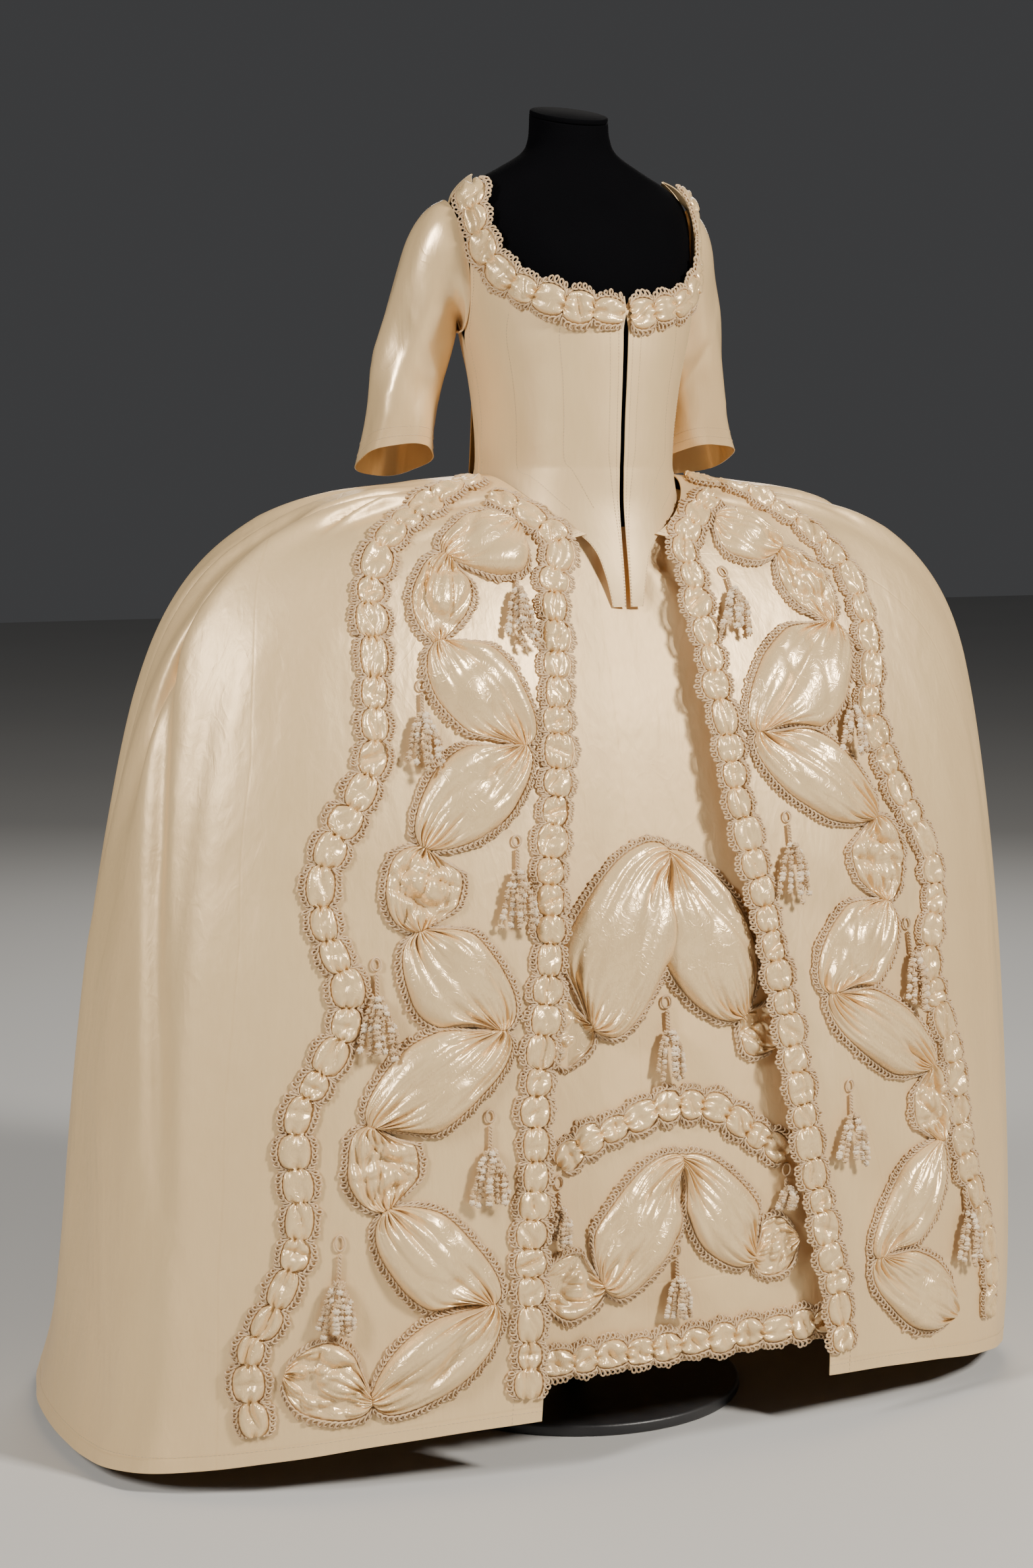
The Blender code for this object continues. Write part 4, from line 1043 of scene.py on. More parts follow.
    def hand_over(
        self, piece: bpy.types.Object, nodes: Sequence[str] = (), pattern: Pattern | None = None,
    ) -> None:
        """Rides a piece on the part's body and reports it.

        Args:
            piece: The piece.
            nodes: The nodes that it stands for.
            pattern: How it is cut, for a sheet of cloth.
        """
        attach(piece, "root")
        for node in nodes:
            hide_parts(node)
        if pattern:
            shown = sum(face.area for face in piece.data.polygons) / 2
            area = pattern.fullness * shown
            flat = (pattern.width, area / pattern.width / pattern.share)
        LOG.info("%s: %d faces", piece.name, len(piece.data.polygons))


@dataclass
class LoopedBraid:
    """The narrow braid of looped floss that edges every trimming.

    Attributes:
        pitch: How far apart its loops are.
        reach: How far a loop stands out.
        curl: How far a loop swings back along the braid, in pitches.
        radius: The floss's radius.
        uneven: How much one loop's reach differs from another's.
        steps: The points of a loop.
    """

    pitch: float = 0.0062
    reach: float = 0.0064
    curl: float = 0.58
    radius: float = 0.00125
    lift: float = 0.0027
    wave: float = 0.0016
    wave_start: float = 0.8
    uneven: float = 0.16
    limits: tuple[float, float] = (0.7, 1.35)
    steps: int = 10

    def line(self, edge: Array, outward: Array, up: Array, seed: int) -> Array:
        """The floss's line along an edge.

        Args:
            edge: The edge's points.
            outward: The directions in which loops stand out.
            up: The directions off the cloth.
            seed: Where its unevenness starts.

        Returns:
            The line's points.
        """
        rng = np.random.default_rng(seed)
        miles = walked(edge)
        loops = max(int(miles[-1] / self.pitch), 2)
        turn = np.arange(loops * self.steps + 1) / self.steps
        uneven = 1 + self.uneven * rng.standard_normal(loops + 1)[np.minimum(turn.astype(int), loops)]
        mile = (turn + self.curl * np.sin(2 * np.pi * turn)) * miles[-1] / loops
        out = self.reach * np.clip(uneven, *self.limits) * (0.5 - 0.5 * np.cos(2 * np.pi * turn))
        raised = self.wave * np.sin(2 * np.pi * turn + self.wave_start) + self.lift
        across, up = unit(read_along(outward, miles, mile)), unit(read_along(up, miles, mile))
        return read_along(edge, miles, mile) + out[:, None] * across + raised[:, None] * up


class Gathered(NamedTuple):
    """A trimming's points, row by row, with their outward directions.

    It also has, for each row, the direction in which its first point's edge faces, and the one off the cloth.
    """

    spots: Array
    outward: Array
    aside: Array
    up: Array


def dome(share: Array, flat: float) -> Array:
    """How high a puff stands across its width, from 0 at both edges to 1 on a flat top."""
    return np.maximum(1 - np.abs(share) ** flat, 0) ** DOME_EDGE


@dataclass
class Trimming:
    """A gathered trimming of satin with looped braid on both edges.

    Attributes:
        node: The node that it stands for.
        carrier: The node that it is sewn to; it is not used.
        form: The cloth that it is sewn to.
    """

    node: str
    carrier: str
    form: Form

    def gathered(self) -> Gathered:
        """The trimming's points and directions."""
        raise NotImplementedError

    def build(self, room: Workroom, satin: "Finish", floss: "Finish", braid: LoopedBraid) -> None:
        """Builds the trimming and the braid along its two edges."""
        made = self.gathered()
        piece = room.cloth(f"{self.node}_puffs", made.spots, made.outward, satin, self.wall)
        room.hand_over(piece, [self.node], self.cut)
        aside = made.aside
        edges = [
            braid.line(made.spots[:, 0] + self.margin * aside, aside, made.up, self.seed),
            braid.line(made.spots[:, -1] - self.margin * aside, -aside, made.up, self.seed + 1),
        ]
        room.hand_over(room.cords(f"{self.node}_braid", edges, braid.radius, floss))


# The least and the most of what differs from puff to puff of a band, in the order in which it is drawn
PUFF_RANGES = {
    "size": (0.86, 1.12),
    "height": (0.78, 1.14),
    "tilt": (-0.42, 0.42),
    "gathers' wave": (5.0, 9.0),
    "gathers' start": (0.0, ANY_START),
    "slant of its folds": (-1.5, 1.5),
    "depth of its first fold": (0.0010, 0.0056),
    "depth of its second fold": (0.0, 0.0040),
    "shift across": (-0.0016, 0.0016),
}


@dataclass
class PuffedBand(Trimming):
    """A narrow band of satin drawn in at even steps, so that a puff stands between each two.

    Attributes:
        knots: Its route, as across and height.
        puffs: How many puffs it has.
        width: Its full width at a puff.
        loft: How far a puff stands off the cloth.
        pinch: Its width where it is drawn in, as a share of the full one.
        seed: Where its unevenness starts.
        shift: How far the drawn places are from even steps, as a share of a puff.
    """

    knots: Sequence[tuple[float, float]]
    puffs: int
    width: float = BAND_WIDTH
    loft: float = 0.0092
    pinch: float = 0.48
    seed: int = 1
    gather: float = 0.0036
    gather_reach: float = 0.24
    shift: float = 0.12
    pinch_loft: float = 0.26
    fold: float = 1.25
    fold_width: float = 0.11
    wall: float = 0.0006
    margin: float = 0.0008
    cut: Pattern = BAND_CUT
    rows: int = 16
    columns: int = 19

    def gathered(self) -> Gathered:
        """The band's points and directions."""
        rng = np.random.default_rng(self.seed)
        route = Route(self.form, self.knots)
        steps = np.arange(self.puffs * self.rows + 1)
        puff = np.minimum(steps // self.rows, self.puffs - 1)
        phase = steps / self.rows - puff
        shift = np.concatenate([[0.0], rng.uniform(-self.shift, self.shift, self.puffs - 1), [0.0]])
        mile = puff + phase + shift[puff] + (shift[puff + 1] - shift[puff]) * phase
        turn, place, heading, normal = route.at(route.length * mile / self.puffs)
        across = unit(np.cross(normal, heading))
        drawn = [rng.uniform(low, high, self.puffs)[puff] for low, high in PUFF_RANGES.values()]
        size, height, tilt, wave, start, slant, dent, second, offset = drawn
        swell = np.sin(np.pi * np.clip(phase, 0, 1)) ** PUFF_ROUND
        share = np.linspace(-1, 1, self.columns)
        half = self.width / 2 * (self.pinch + (1 - self.pinch) * swell) * size
        round_top = dome(share, BAND_FLAT)
        full = (1 - self.pinch_loft) * (swell * height)[:, None] * (1 + tilt[:, None] * share)
        base = self.loft * (self.pinch_loft + full) * round_top
        near = np.exp(-((np.minimum(phase, 1 - phase) / self.gather_reach) ** 1.5))[:, None]
        gathers = self.gather * near * np.cos(wave[:, None] * share + start[:, None])
        folds = np.zeros_like(base)
        for turned, deep in ((slant, dent), (0.9 - 0.7 * slant, second)):
            line = (phase[:, None] - 0.5) * np.cos(turned)[:, None] + 0.5 * share * np.sin(turned)[:, None]
            off = np.abs((line - 0.10 * np.sin(start)[:, None]) / self.fold_width)
            folds -= self.fold * deep[:, None] * np.exp(-(off**FOLD_CRISP))
        high = base + (gathers + folds * swell[:, None] ** 2) * round_top
        aside = across[:, None] * (half[:, None] * share + (offset * swell)[:, None])[..., None]
        spots = self.form.lay(turn[:, None], place[:, None], aside, np.maximum(high, 0) + BAND_RISE)
        return Gathered(spots, np.repeat(normal[:, None], self.columns, 1), -across, normal)


class FestoonLine(NamedTuple):
    """The line of a festoon: its knots on the cloth, the chords between them and its openings."""

    found: Array
    chords: Array
    lengths: Array
    openings: Array


def soft_least(a: Array, b: Array) -> Array:
    """The lesser of two lengths, rounded off where they cross."""
    return 0.5 * (a + b - np.sqrt((a - b) ** 2 + ROUNDED_OFF**2))


@dataclass
class Festoon(Trimming):
    """A wide band of satin gathered tight at its knots, with large puffs between them.

    Attributes:
        knots: A row for each knot, with the puff that starts there.
        cuts: How each puff is drawn in.
        seed: Where its unevenness starts.
        sag: How far a puff's belly hangs towards its lower knot.
        fan: How fast a puff widens where it leaves a knot, where nothing hinders it.
        crowd: How much closer its rows are near the knots.
        bend: How soon a puff's rows turn from the bend at a knot to its own chord.
        spare, loft: A puff's widths and its loft, as shares of its row's.
        tilt, tip: How far a puff may tilt across and along, as shares of its loft.
    """

    knots: Sequence[Knot]
    cuts: Sequence[Cut]
    seed: int = 1
    sag: float = 0.0
    fan: float = 2.2
    crowd: float = 0.35
    bend: float = 1.6
    scallop: float = 0.035
    spare: float = 1.04
    loft: float = 0.84
    tilt: float = 0.28
    tip: float = 0.2
    wall: float = 0.0007
    margin: float = 0.001
    cut: Pattern = FESTOON_CUT
    rows: int = 44
    columns: int = 61

    def openings(self, chords: Array, normals: Array) -> Array:
        """How fast a puff may widen on its left and right where it leaves each knot.

        On the inner side of a bend the puffs on both sides of the knot just meet.
        """
        opening = np.full((len(chords) + 1, 2), self.fan)
        for k in range(1, len(chords)):
            sine = float(dot(np.cross(chords[k - 1], chords[k]), normals[k]))
            bend = np.arctan2(abs(sine), float(dot(chords[k - 1], chords[k])))
            inner = 0 if sine > 0 else 1
            opening[k, inner] = min(self.fan, np.tan((np.pi - bend) / 2))
        return opening

    def outline(self, i: int, share: Array, full: Array, rng: np.random.Generator, line: FestoonLine) -> list:
        """The half widths of one puff's rows on its left and on its right."""
        sides = []
        for side, width in enumerate((self.knots[i].left, self.knots[i].right)):
            start, end = line.openings[i, side], line.openings[i + 1, side]
            widest = KNOT_HALF + line.lengths[i] * np.minimum(start * share, end * (1 - share))
            wavy = 1 + self.scallop * np.sin(9 * share + rng.uniform(0, ANY_START))
            sides.append(soft_least(widest, np.maximum(KNOT_HALF, self.spare * width * full * wavy)))
        return sides

    def puff(self, i: int, rng: np.random.Generator, line: FestoonLine) -> tuple:
        """The rows of one puff: turns, places, aside vectors, lifts, across and outward directions."""
        chords, found = line.chords, line.found
        share = np.arange(self.rows) / self.rows
        share = 0.5 - 0.5 * np.cos(np.pi * share) * (1 - self.crowd * np.sin(np.pi * share) ** 2)
        turn = found[i, 0] + (found[i + 1, 0] - found[i, 0]) * share
        place = found[i, 1] + (found[i + 1, 1] - found[i, 1]) * share
        normal = self.form.normal(turn, place)
        blend = np.maximum(0, 0.5 - self.bend * np.minimum(share, 1 - share))[:, None]
        beside = np.where((share < 0.5)[:, None], chords[max(i - 1, 0)], chords[min(i + 1, len(chords) - 1)])
        across = unit(np.cross(normal, unit((1 - blend) * chords[i] + blend * beside)))
        belly = share ** (1 - self.sag * chords[i][2] * BELLY_DRIFT)
        full = np.sin(np.pi * np.clip(belly, 0, 1)) ** FESTOON_ROUND
        left, right = self.outline(i, share, full, rng, line)
        t = np.linspace(-1, 1, self.columns)
        half = np.where(t < 0, left[:, None], right[:, None])
        round_top = dome(t, FESTOON_FLAT)
        tilted = rng.uniform(-self.tilt, self.tilt) * t[None, :]
        tilted = 1 + tilted + rng.uniform(-self.tip, self.tip) * (2 * share[:, None] - 1)
        loft = KNOT_LOFT + (self.loft * self.knots[i].loft - KNOT_LOFT) * full
        high = loft[:, None] * round_top * tilted
        narrow = np.clip(half / FULL_CREASES, 0.35, 1)
        high = high + self.creases(share, t, self.cuts[i].value, rng) * round_top * narrow
        aside = -across[:, None] * (half * t)[..., None]
        return turn, place, aside, high, across, normal

    def creases(self, share: Array, t: Array, drawn: Drawing, rng: np.random.Generator) -> Array:
        """Gathers that radiate from both knots, with crumples across the puff."""
        total = np.zeros((len(share), len(t)))
        for from_knot in (share, 1 - share):
            middles = np.linspace(-0.88, 0.88, GATHERS) + rng.uniform(-0.07, 0.07, GATHERS)
            for middle in middles:
                width = rng.uniform(*GATHER_WIDTHS)
                reach = rng.uniform(*GATHER_REACHES) * drawn.reach
                deep = rng.uniform(*GATHER_DEPTHS)
                bend = middle * (1 - 0.25 * from_knot) + rng.uniform(-0.25, 0.25) * from_knot
                spread = width * (1 + 1.5 * from_knot[:, None])
                valley = np.exp(-np.abs((t[None, :] - bend[:, None]) / spread) ** GATHER_CRISP)
                total -= deep * valley * np.exp(-((from_knot / reach) ** 1.8))[:, None]
        for _ in range(drawn.crumples):
            angle, where = rng.uniform(-1.5, 1.5), rng.uniform(-0.75, 0.75)
            line = t[None, :] * np.sin(angle) + (2 * share[:, None] - 1) * np.cos(angle) - where
            bow = 0.12 * np.sin(3 * (t[None, :] + 2 * share[:, None]) + where * 5)
            deep, width = rng.uniform(*drawn.depths), rng.uniform(*drawn.widths)
            total -= deep * np.exp(-np.abs((line + bow) / width) ** FOLD_CRISP)
        return total

    def gathered(self) -> Gathered:
        """The festoon's points and directions."""
        rng = np.random.default_rng(self.seed)
        across_height = np.array([[knot.across, knot.height] for knot in self.knots]).T
        found = np.stack(self.form.find(*across_height), -1)
        steps = np.diff(self.form.bare(found[:, 0], found[:, 1]), axis=0)
        chords, lengths = unit(steps), np.linalg.norm(steps, axis=1)
        openings = self.openings(chords, self.form.normal(found[:, 0], found[:, 1]))
        line = FestoonLine(found, chords, lengths, openings)
        puffs = [self.puff(i, rng, line) for i in range(len(chords))]
        turn, place, aside, high, across, normal = (np.concatenate(parts) for parts in zip(*puffs))
        spots = self.form.lay(turn[:, None], place[:, None], aside, np.maximum(high, 0) + FESTOON_RISE)
        return Gathered(spots, np.repeat(normal[:, None], self.columns, 1), across, normal)


class Signal:
    """A socket of a material, for shader maths written as Python expressions."""

    def __init__(self, recipe: "Recipe", socket: bpy.types.NodeSocket) -> None:
        """Keeps the socket and the material's recipe."""
        self.recipe = recipe
        self.socket = socket

    def joined(self, operation: str, *values: "Signal | float") -> "Signal":
        """The result of a Math node on these values."""
        return self.recipe.made("ShaderNodeMath", {"operation": operation}, dict(enumerate(values)))

    def __add__(self, other: "Signal | float") -> "Signal":
        """The sum."""
        return self.joined("ADD", self, other)

    def __sub__(self, other: "Signal | float") -> "Signal":
        """The difference."""
        return self.joined("SUBTRACT", self, other)

    def __rsub__(self, other: float) -> "Signal":
        """The difference from a number."""
        return self.joined("SUBTRACT", other, self)

    def __mul__(self, other: "Signal | float") -> "Signal":
        """The product."""
        return self.joined("MULTIPLY", self, other)

    def __pow__(self, other: float) -> "Signal":
        """The power."""
        return self.joined("POWER", self, other)

    def __abs__(self) -> "Signal":
        """The value without its sign."""
        return self.joined("ABSOLUTE", self)

    __radd__ = __add__
    __rmul__ = __mul__

    def clipped(self) -> "Signal":
        """The value kept between 0 and 1."""
        return self.joined("MINIMUM", self.joined("MAXIMUM", self, 0.0), 1.0)


class Recipe:
    """One material's nodes."""

    def __init__(self, name: str) -> None:
        """Starts a material with its own shader."""
        self.material = bpy.data.materials.new(name)
        self.material.use_nodes = True
        self.nodes, self.links = self.material.node_tree.nodes, self.material.node_tree.links
        self.shader = self.nodes["Principled BSDF"]

    def made(self, kind: str, settings: dict, values: dict, output: int | str = 0) -> Signal:
        """Makes a node.

        Args:
            kind: The node's type.
            settings: Its settings.
            values: Numbers, colours or signals for its sockets.
            output: Which output to give back.

        Returns:
            The output, as a signal.
        """
        node = self.nodes.new(kind)
        for key, value in settings.items():
            setattr(node, key, value)
        self.fill(node, values)
        return Signal(self, node.outputs[output])

    def fill(self, node: bpy.types.Node, values: dict) -> None:
        """Sets or links a node's sockets."""
        for key, value in values.items():
            if isinstance(value, Signal):
                self.links.new(value.socket, node.inputs[key])
            else:
                node.inputs[key].default_value = value

    def place(self, stretch: tuple[float, float, float] = (1, 1, 1)) -> Signal:
        """A piece's own coordinates, stretched."""
        source = self.made("ShaderNodeTexCoord", {}, {}, "Object")
        return self.made("ShaderNodeMapping", {}, {"Vector": source, "Scale": stretch})

    def noise(self, place: Signal, scale: float, detail: float = 2.0, twist: float = 0.0) -> Signal:
        """Soft noise between 0 and 1."""
        values = {"Vector": place, "Scale": scale, "Detail": detail, "Distortion": twist}
        return self.made("ShaderNodeTexNoise", {}, values)

    def mixed(self, share: Signal | float, first: tuple | Signal, second: tuple | Signal) -> Signal:
        """A colour between two."""
        colours = [value if isinstance(value, Signal) else (*value, 1) for value in (first, second)]
        values = {0: share, 6: colours[0], 7: colours[1]}
        return self.made("ShaderNodeMix", {"data_type": "RGBA"}, values, 2)

    def relief(self, height: Signal, distance: float, strength: float = 1.0) -> Signal:
        """A bumped normal."""
        values = {"Height": height, "Distance": distance, "Strength": strength}
        return self.made("ShaderNodeBump", {}, values)

    def finished(self, **values: Signal | float | tuple) -> bpy.types.Material:
        """The material, once its shader's sockets are filled. Underscores stand for spaces."""
        self.fill(self.shader, {key.replace("_", " "): value for key, value in values.items()})
        return self.material


@dataclass(frozen=True)
class Finish:
    """A finish that pieces can be given, with its main colour, a second one and its roughness."""

    name: str
    colour: tuple[float, float, float]
    shade: tuple[float, float, float]
    roughness: float

    def make(self) -> bpy.types.Material:
        """Makes the material."""
        raise NotImplementedError


# How closely the satin's patterns lie along each axis, in turns a metre
SLUB_SCALE, FINE_SCALE, WEAVE_SCALE = (240, 240, 26), (70, 70, 34), (1500, 1500, 420)


@dataclass(frozen=True)
class Satin(Finish):
    """Silk satin: glossy, with fine threads, soft creases with painted shade in their valleys, and pressed
    seams.

    Attributes:
        creases: How deep its soft creases look, in metres.
        stretch: How far creases are stretched along each axis.
        crumple: The depth of its crisp creases, as a share of that.
        seams_up: Heights above the hem at which a seam runs round.
        seams_across: Lengths along the rows at which a seam runs up.
    """

    creases: float = 0.0050
    stretch: tuple[float, float, float] = (9.0, 9.0, 4.5)
    crumple: float = 0.015
    seams_up: tuple[float, ...] = ()
    seams_across: tuple[float, ...] = ()
    seam_width: float = 0.0022
    crispness: float = 9
    metallic: float = 0.30
    gloss: float = 0.62

    def make(self) -> bpy.types.Material:
        """Makes the material."""
        recipe = Recipe(self.name)
        body = recipe.place(self.stretch)
        cloud = recipe.noise(recipe.place(), 5.0, 3.0)
        slub = recipe.noise(recipe.place(SLUB_SCALE), 1.0, 2.0)
        soft = recipe.noise(body, 1.0, 3.0, 0.6)
        fine = recipe.noise(recipe.place(FINE_SCALE), 1.0, 2.0, 0.8)
        weave = recipe.noise(recipe.place(WEAVE_SCALE), 1.0, 1.0)
        # Random tone from the cloud and slub noise, plus painted shade: the soft noise that raises the soft
        # creases also darkens their valleys towards the shade colour.
        tone = (0.55 * cloud + 0.30 * soft + 0.25 * slub - 0.05).clipped()
        colour = recipe.mixed(tone, self.shade, self.colour)
        drag = recipe.noise(recipe.place(tuple(2.1 * value for value in self.stretch)), 1.0, 2.0, 1.6)
        crease = (1 - self.crispness * abs(drag - 0.5)).clipped() ** 2
        height = soft + 0.10 * fine + 0.012 * weave + 0.018 * slub + self.crumple * crease
        lines = self.seam_lines(recipe)
        if lines is not None:
            colour = recipe.mixed(0.35 * lines, colour, self.shade)
            height = height - 0.03 * lines
        rough = self.roughness + 0.10 * (cloud - 0.5) + 0.06 * slub
        look = {"Base_Color": colour, "Roughness": rough, "Normal": recipe.relief(height, self.creases)}
        return recipe.finished(**look, Metallic=self.metallic, Specular_IOR_Level=self.gloss)

    def seam_lines(self, recipe: Recipe) -> Signal | None:
        """How near a place is to one of the seams, from 0 to 1."""
        place = recipe.made("ShaderNodeTexCoord", {}, {}, "UV")
        axes = [recipe.made("ShaderNodeSeparateXYZ", {}, {0: place}, axis) for axis in (0, 1)]
        total = None
        for axis, seams in zip(axes, (self.seams_across, self.seams_up)):
            for seam in seams:
                line = (1 - abs(axis - seam) * (1 / self.seam_width)).clipped()
                total = line if total is None else total + line
        return total


@dataclass(frozen=True)
class Silk(Finish):
    """Matte knotted silk floss."""

    def make(self) -> bpy.types.Material:
        """Makes the material."""
        recipe = Recipe(self.name)
        place = recipe.place()
        patches, threads = recipe.noise(place, 70.0, 2.0), recipe.noise(place, 900.0, 2.0)
        tone = (1.5 * (patches - 0.5) + 0.5 * threads + 0.25).clipped()
        colour = recipe.mixed(tone, self.shade, self.colour)
        rough = self.roughness + 0.12 * (threads - 0.5)
        bump = recipe.relief(threads, 0.0005, 0.8)
        return recipe.finished(Base_Color=colour, Roughness=rough, Normal=bump, Sheen_Weight=0.25)


@dataclass(frozen=True)
class Jersey(Finish):
    """Black knitted cloth, stretched over the dress form."""

    def make(self) -> bpy.types.Material:
        """Makes the material."""
        recipe = Recipe(self.name)
        rib = recipe.noise(recipe.place((620, 620, 900)), 1.0, 2.0)
        dust = recipe.noise(recipe.place(), 26.0, 4.0)
        colour = recipe.mixed((0.6 * dust + 0.3 * rib).clipped(), self.shade, self.colour)
        rough = self.roughness + 0.08 * (dust - 0.5)
        bump = recipe.relief(rib, 0.0006, 0.6)
        return recipe.finished(Base_Color=colour, Roughness=rough, Normal=bump, Specular_IOR_Level=0.04)


@dataclass(frozen=True)
class PaintedIron(Finish):
    """Black satin paint on iron, worn a little."""

    def make(self) -> bpy.types.Material:
        """Makes the material."""
        recipe = Recipe(self.name)
        place = recipe.place()
        wear, grain = recipe.noise(place, 14.0, 4.0), recipe.noise(place, 320.0, 2.0)
        colour = recipe.mixed((1.4 * (wear - 0.35)).clipped(), self.colour, self.shade)
        rough = self.roughness + 0.18 * (wear - 0.5)
        return recipe.finished(Base_Color=colour, Roughness=rough, Normal=recipe.relief(grain, 0.0003, 0.5))


@dataclass(frozen=True)
class StudioFloor(Finish):
    """The plain pale floor."""

    def make(self) -> bpy.types.Material:
        """Makes the material."""
        recipe = Recipe(self.name)
        cloud = recipe.noise(recipe.place(), 0.7, 2.0)
        colour = recipe.mixed(cloud, self.shade, self.colour)
        return recipe.finished(Base_Color=colour, Roughness=self.roughness)


CREAM, CREAM_SHADE = (0.82, 0.60, 0.325), (0.70, 0.48, 0.235)
SKIRT_SATIN = Satin("skirt_satin", CREAM, CREAM_SHADE, 0.40, seams_across=(0.36, 0.74, 1.12), seams_up=(0.016,))
PETTICOAT_SATIN = Satin(
    "petticoat_satin", (0.76, 0.55, 0.29), CREAM_SHADE, 0.52, seams_up=(0.092,), seams_across=(0.035,)
)
PUFF_SATIN = Satin("puff_satin", (0.84, 0.62, 0.34), CREAM_SHADE, 0.25, 0.0016, (30.0, 30.0, 26.0), 0.10)
BODICE_SATIN = Satin("bodice_satin", CREAM, CREAM_SHADE, 0.44, 0.0010, (20.0, 20.0, 11.0), 0.02)
SLEEVE_SATIN = Satin(
    "sleeve_satin_cloth", (0.84, 0.61, 0.335), CREAM_SHADE, 0.22, 0.0020, (16.0, 16.0, 5.5), 0.02
)
FLOSS = Silk("tan_floss", (0.66, 0.47, 0.265), (0.46, 0.30, 0.15), 0.80)
WHITE_FLOSS = Silk("white_floss", (0.82, 0.67, 0.47), (0.66, 0.49, 0.30), 0.85)
THREAD = Silk("sewing_thread", (0.62, 0.49, 0.31), (0.50, 0.38, 0.23), 0.75)
JERSEY = Jersey("black_jersey_cloth", (0.0022, 0.0022, 0.0028), (0.0010, 0.0010, 0.0014), 0.95)
IRON = PaintedIron("black_iron_paint", (0.018, 0.018, 0.020), (0.035, 0.034, 0.033), 0.42)
FLOOR = StudioFloor("pale_floor", (0.52, 0.515, 0.50), (0.48, 0.475, 0.46), 0.85)


class Lamp(NamedTuple):
    """A soft light of the studio, aimed at a place."""

    name: str
    place: tuple[float, float, float]
    aim: tuple[float, float, float]
    width: float
    height: float
    energy: float
    colour: tuple[float, float, float]


STUDIO_LIGHTS = (
    Lamp("key", (2.0, -3.7, 3.3), (0.0, 0.0, 0.7), 0.6, 0.8, 360.0, (1.0, 0.95, 0.88)),
    Lamp("side", (-3.7, -1.5, 2.9), (0.0, 0.0, 0.8), 0.6, 1.6, 190.0, (1.0, 0.965, 0.92)),
    Lamp("back", (1.8, 3.2, 2.8), (0.0, 0.0, 0.8), 2.0, 2.0, 60.0, (1.0, 0.97, 0.93)),
)
ROOM_COLOUR, ROOM_STRENGTH, FLOOR_WIDTH = (0.93, 0.94, 0.97), 0.055, 30

CAMERA_LENS, CAMERA_PLACE, CAMERA_TILT, CAMERA_TURN = 68.61, (-1.573, -3.127, 1.13), 6.57, 25.59
SENSOR_HEIGHT, CAMERA_REACH = 36, 60


@dataclass
class Stitching:
    """A line of running stitches: how far apart they start, how long each is, and the thread's radius."""

    pitch: float = 0.0050
    length: float = 0.0030
    radius: float = 0.00030

    def lines(self, spots: Array, outward: Array) -> list[Array]:
        """The stitches along a line of points, each a low arch of thread."""
        miles = walked(spots)
        starts = np.arange(0, miles[-1] - self.length, self.pitch)
        mile = starts[:, None] + self.length * np.array([0.0, 0.5, 1.0])
        up = unit(read_along(outward, miles, mile))
        return list(read_along(spots, miles, mile) + up * (self.radius * STITCH_ARCH)[None, :, None])

    def sew(self, room: Workroom, name: str, rows: Sequence[tuple[Array, Array]], thread: "Finish") -> None:
        """Makes one piece of all the stitches along these rows of points with their outward directions."""
        lines = [line for spots, outward in rows for line in self.lines(spots, outward)]
        room.hand_over(room.cords(name, lines, self.radius, thread))


HEM_STITCHING = Stitching()
BODICE_STITCHING = Stitching(0.0036, 0.0022, 0.00026)
CUFF_STITCHING = Stitching(0.0038, 0.0024, 0.00027)


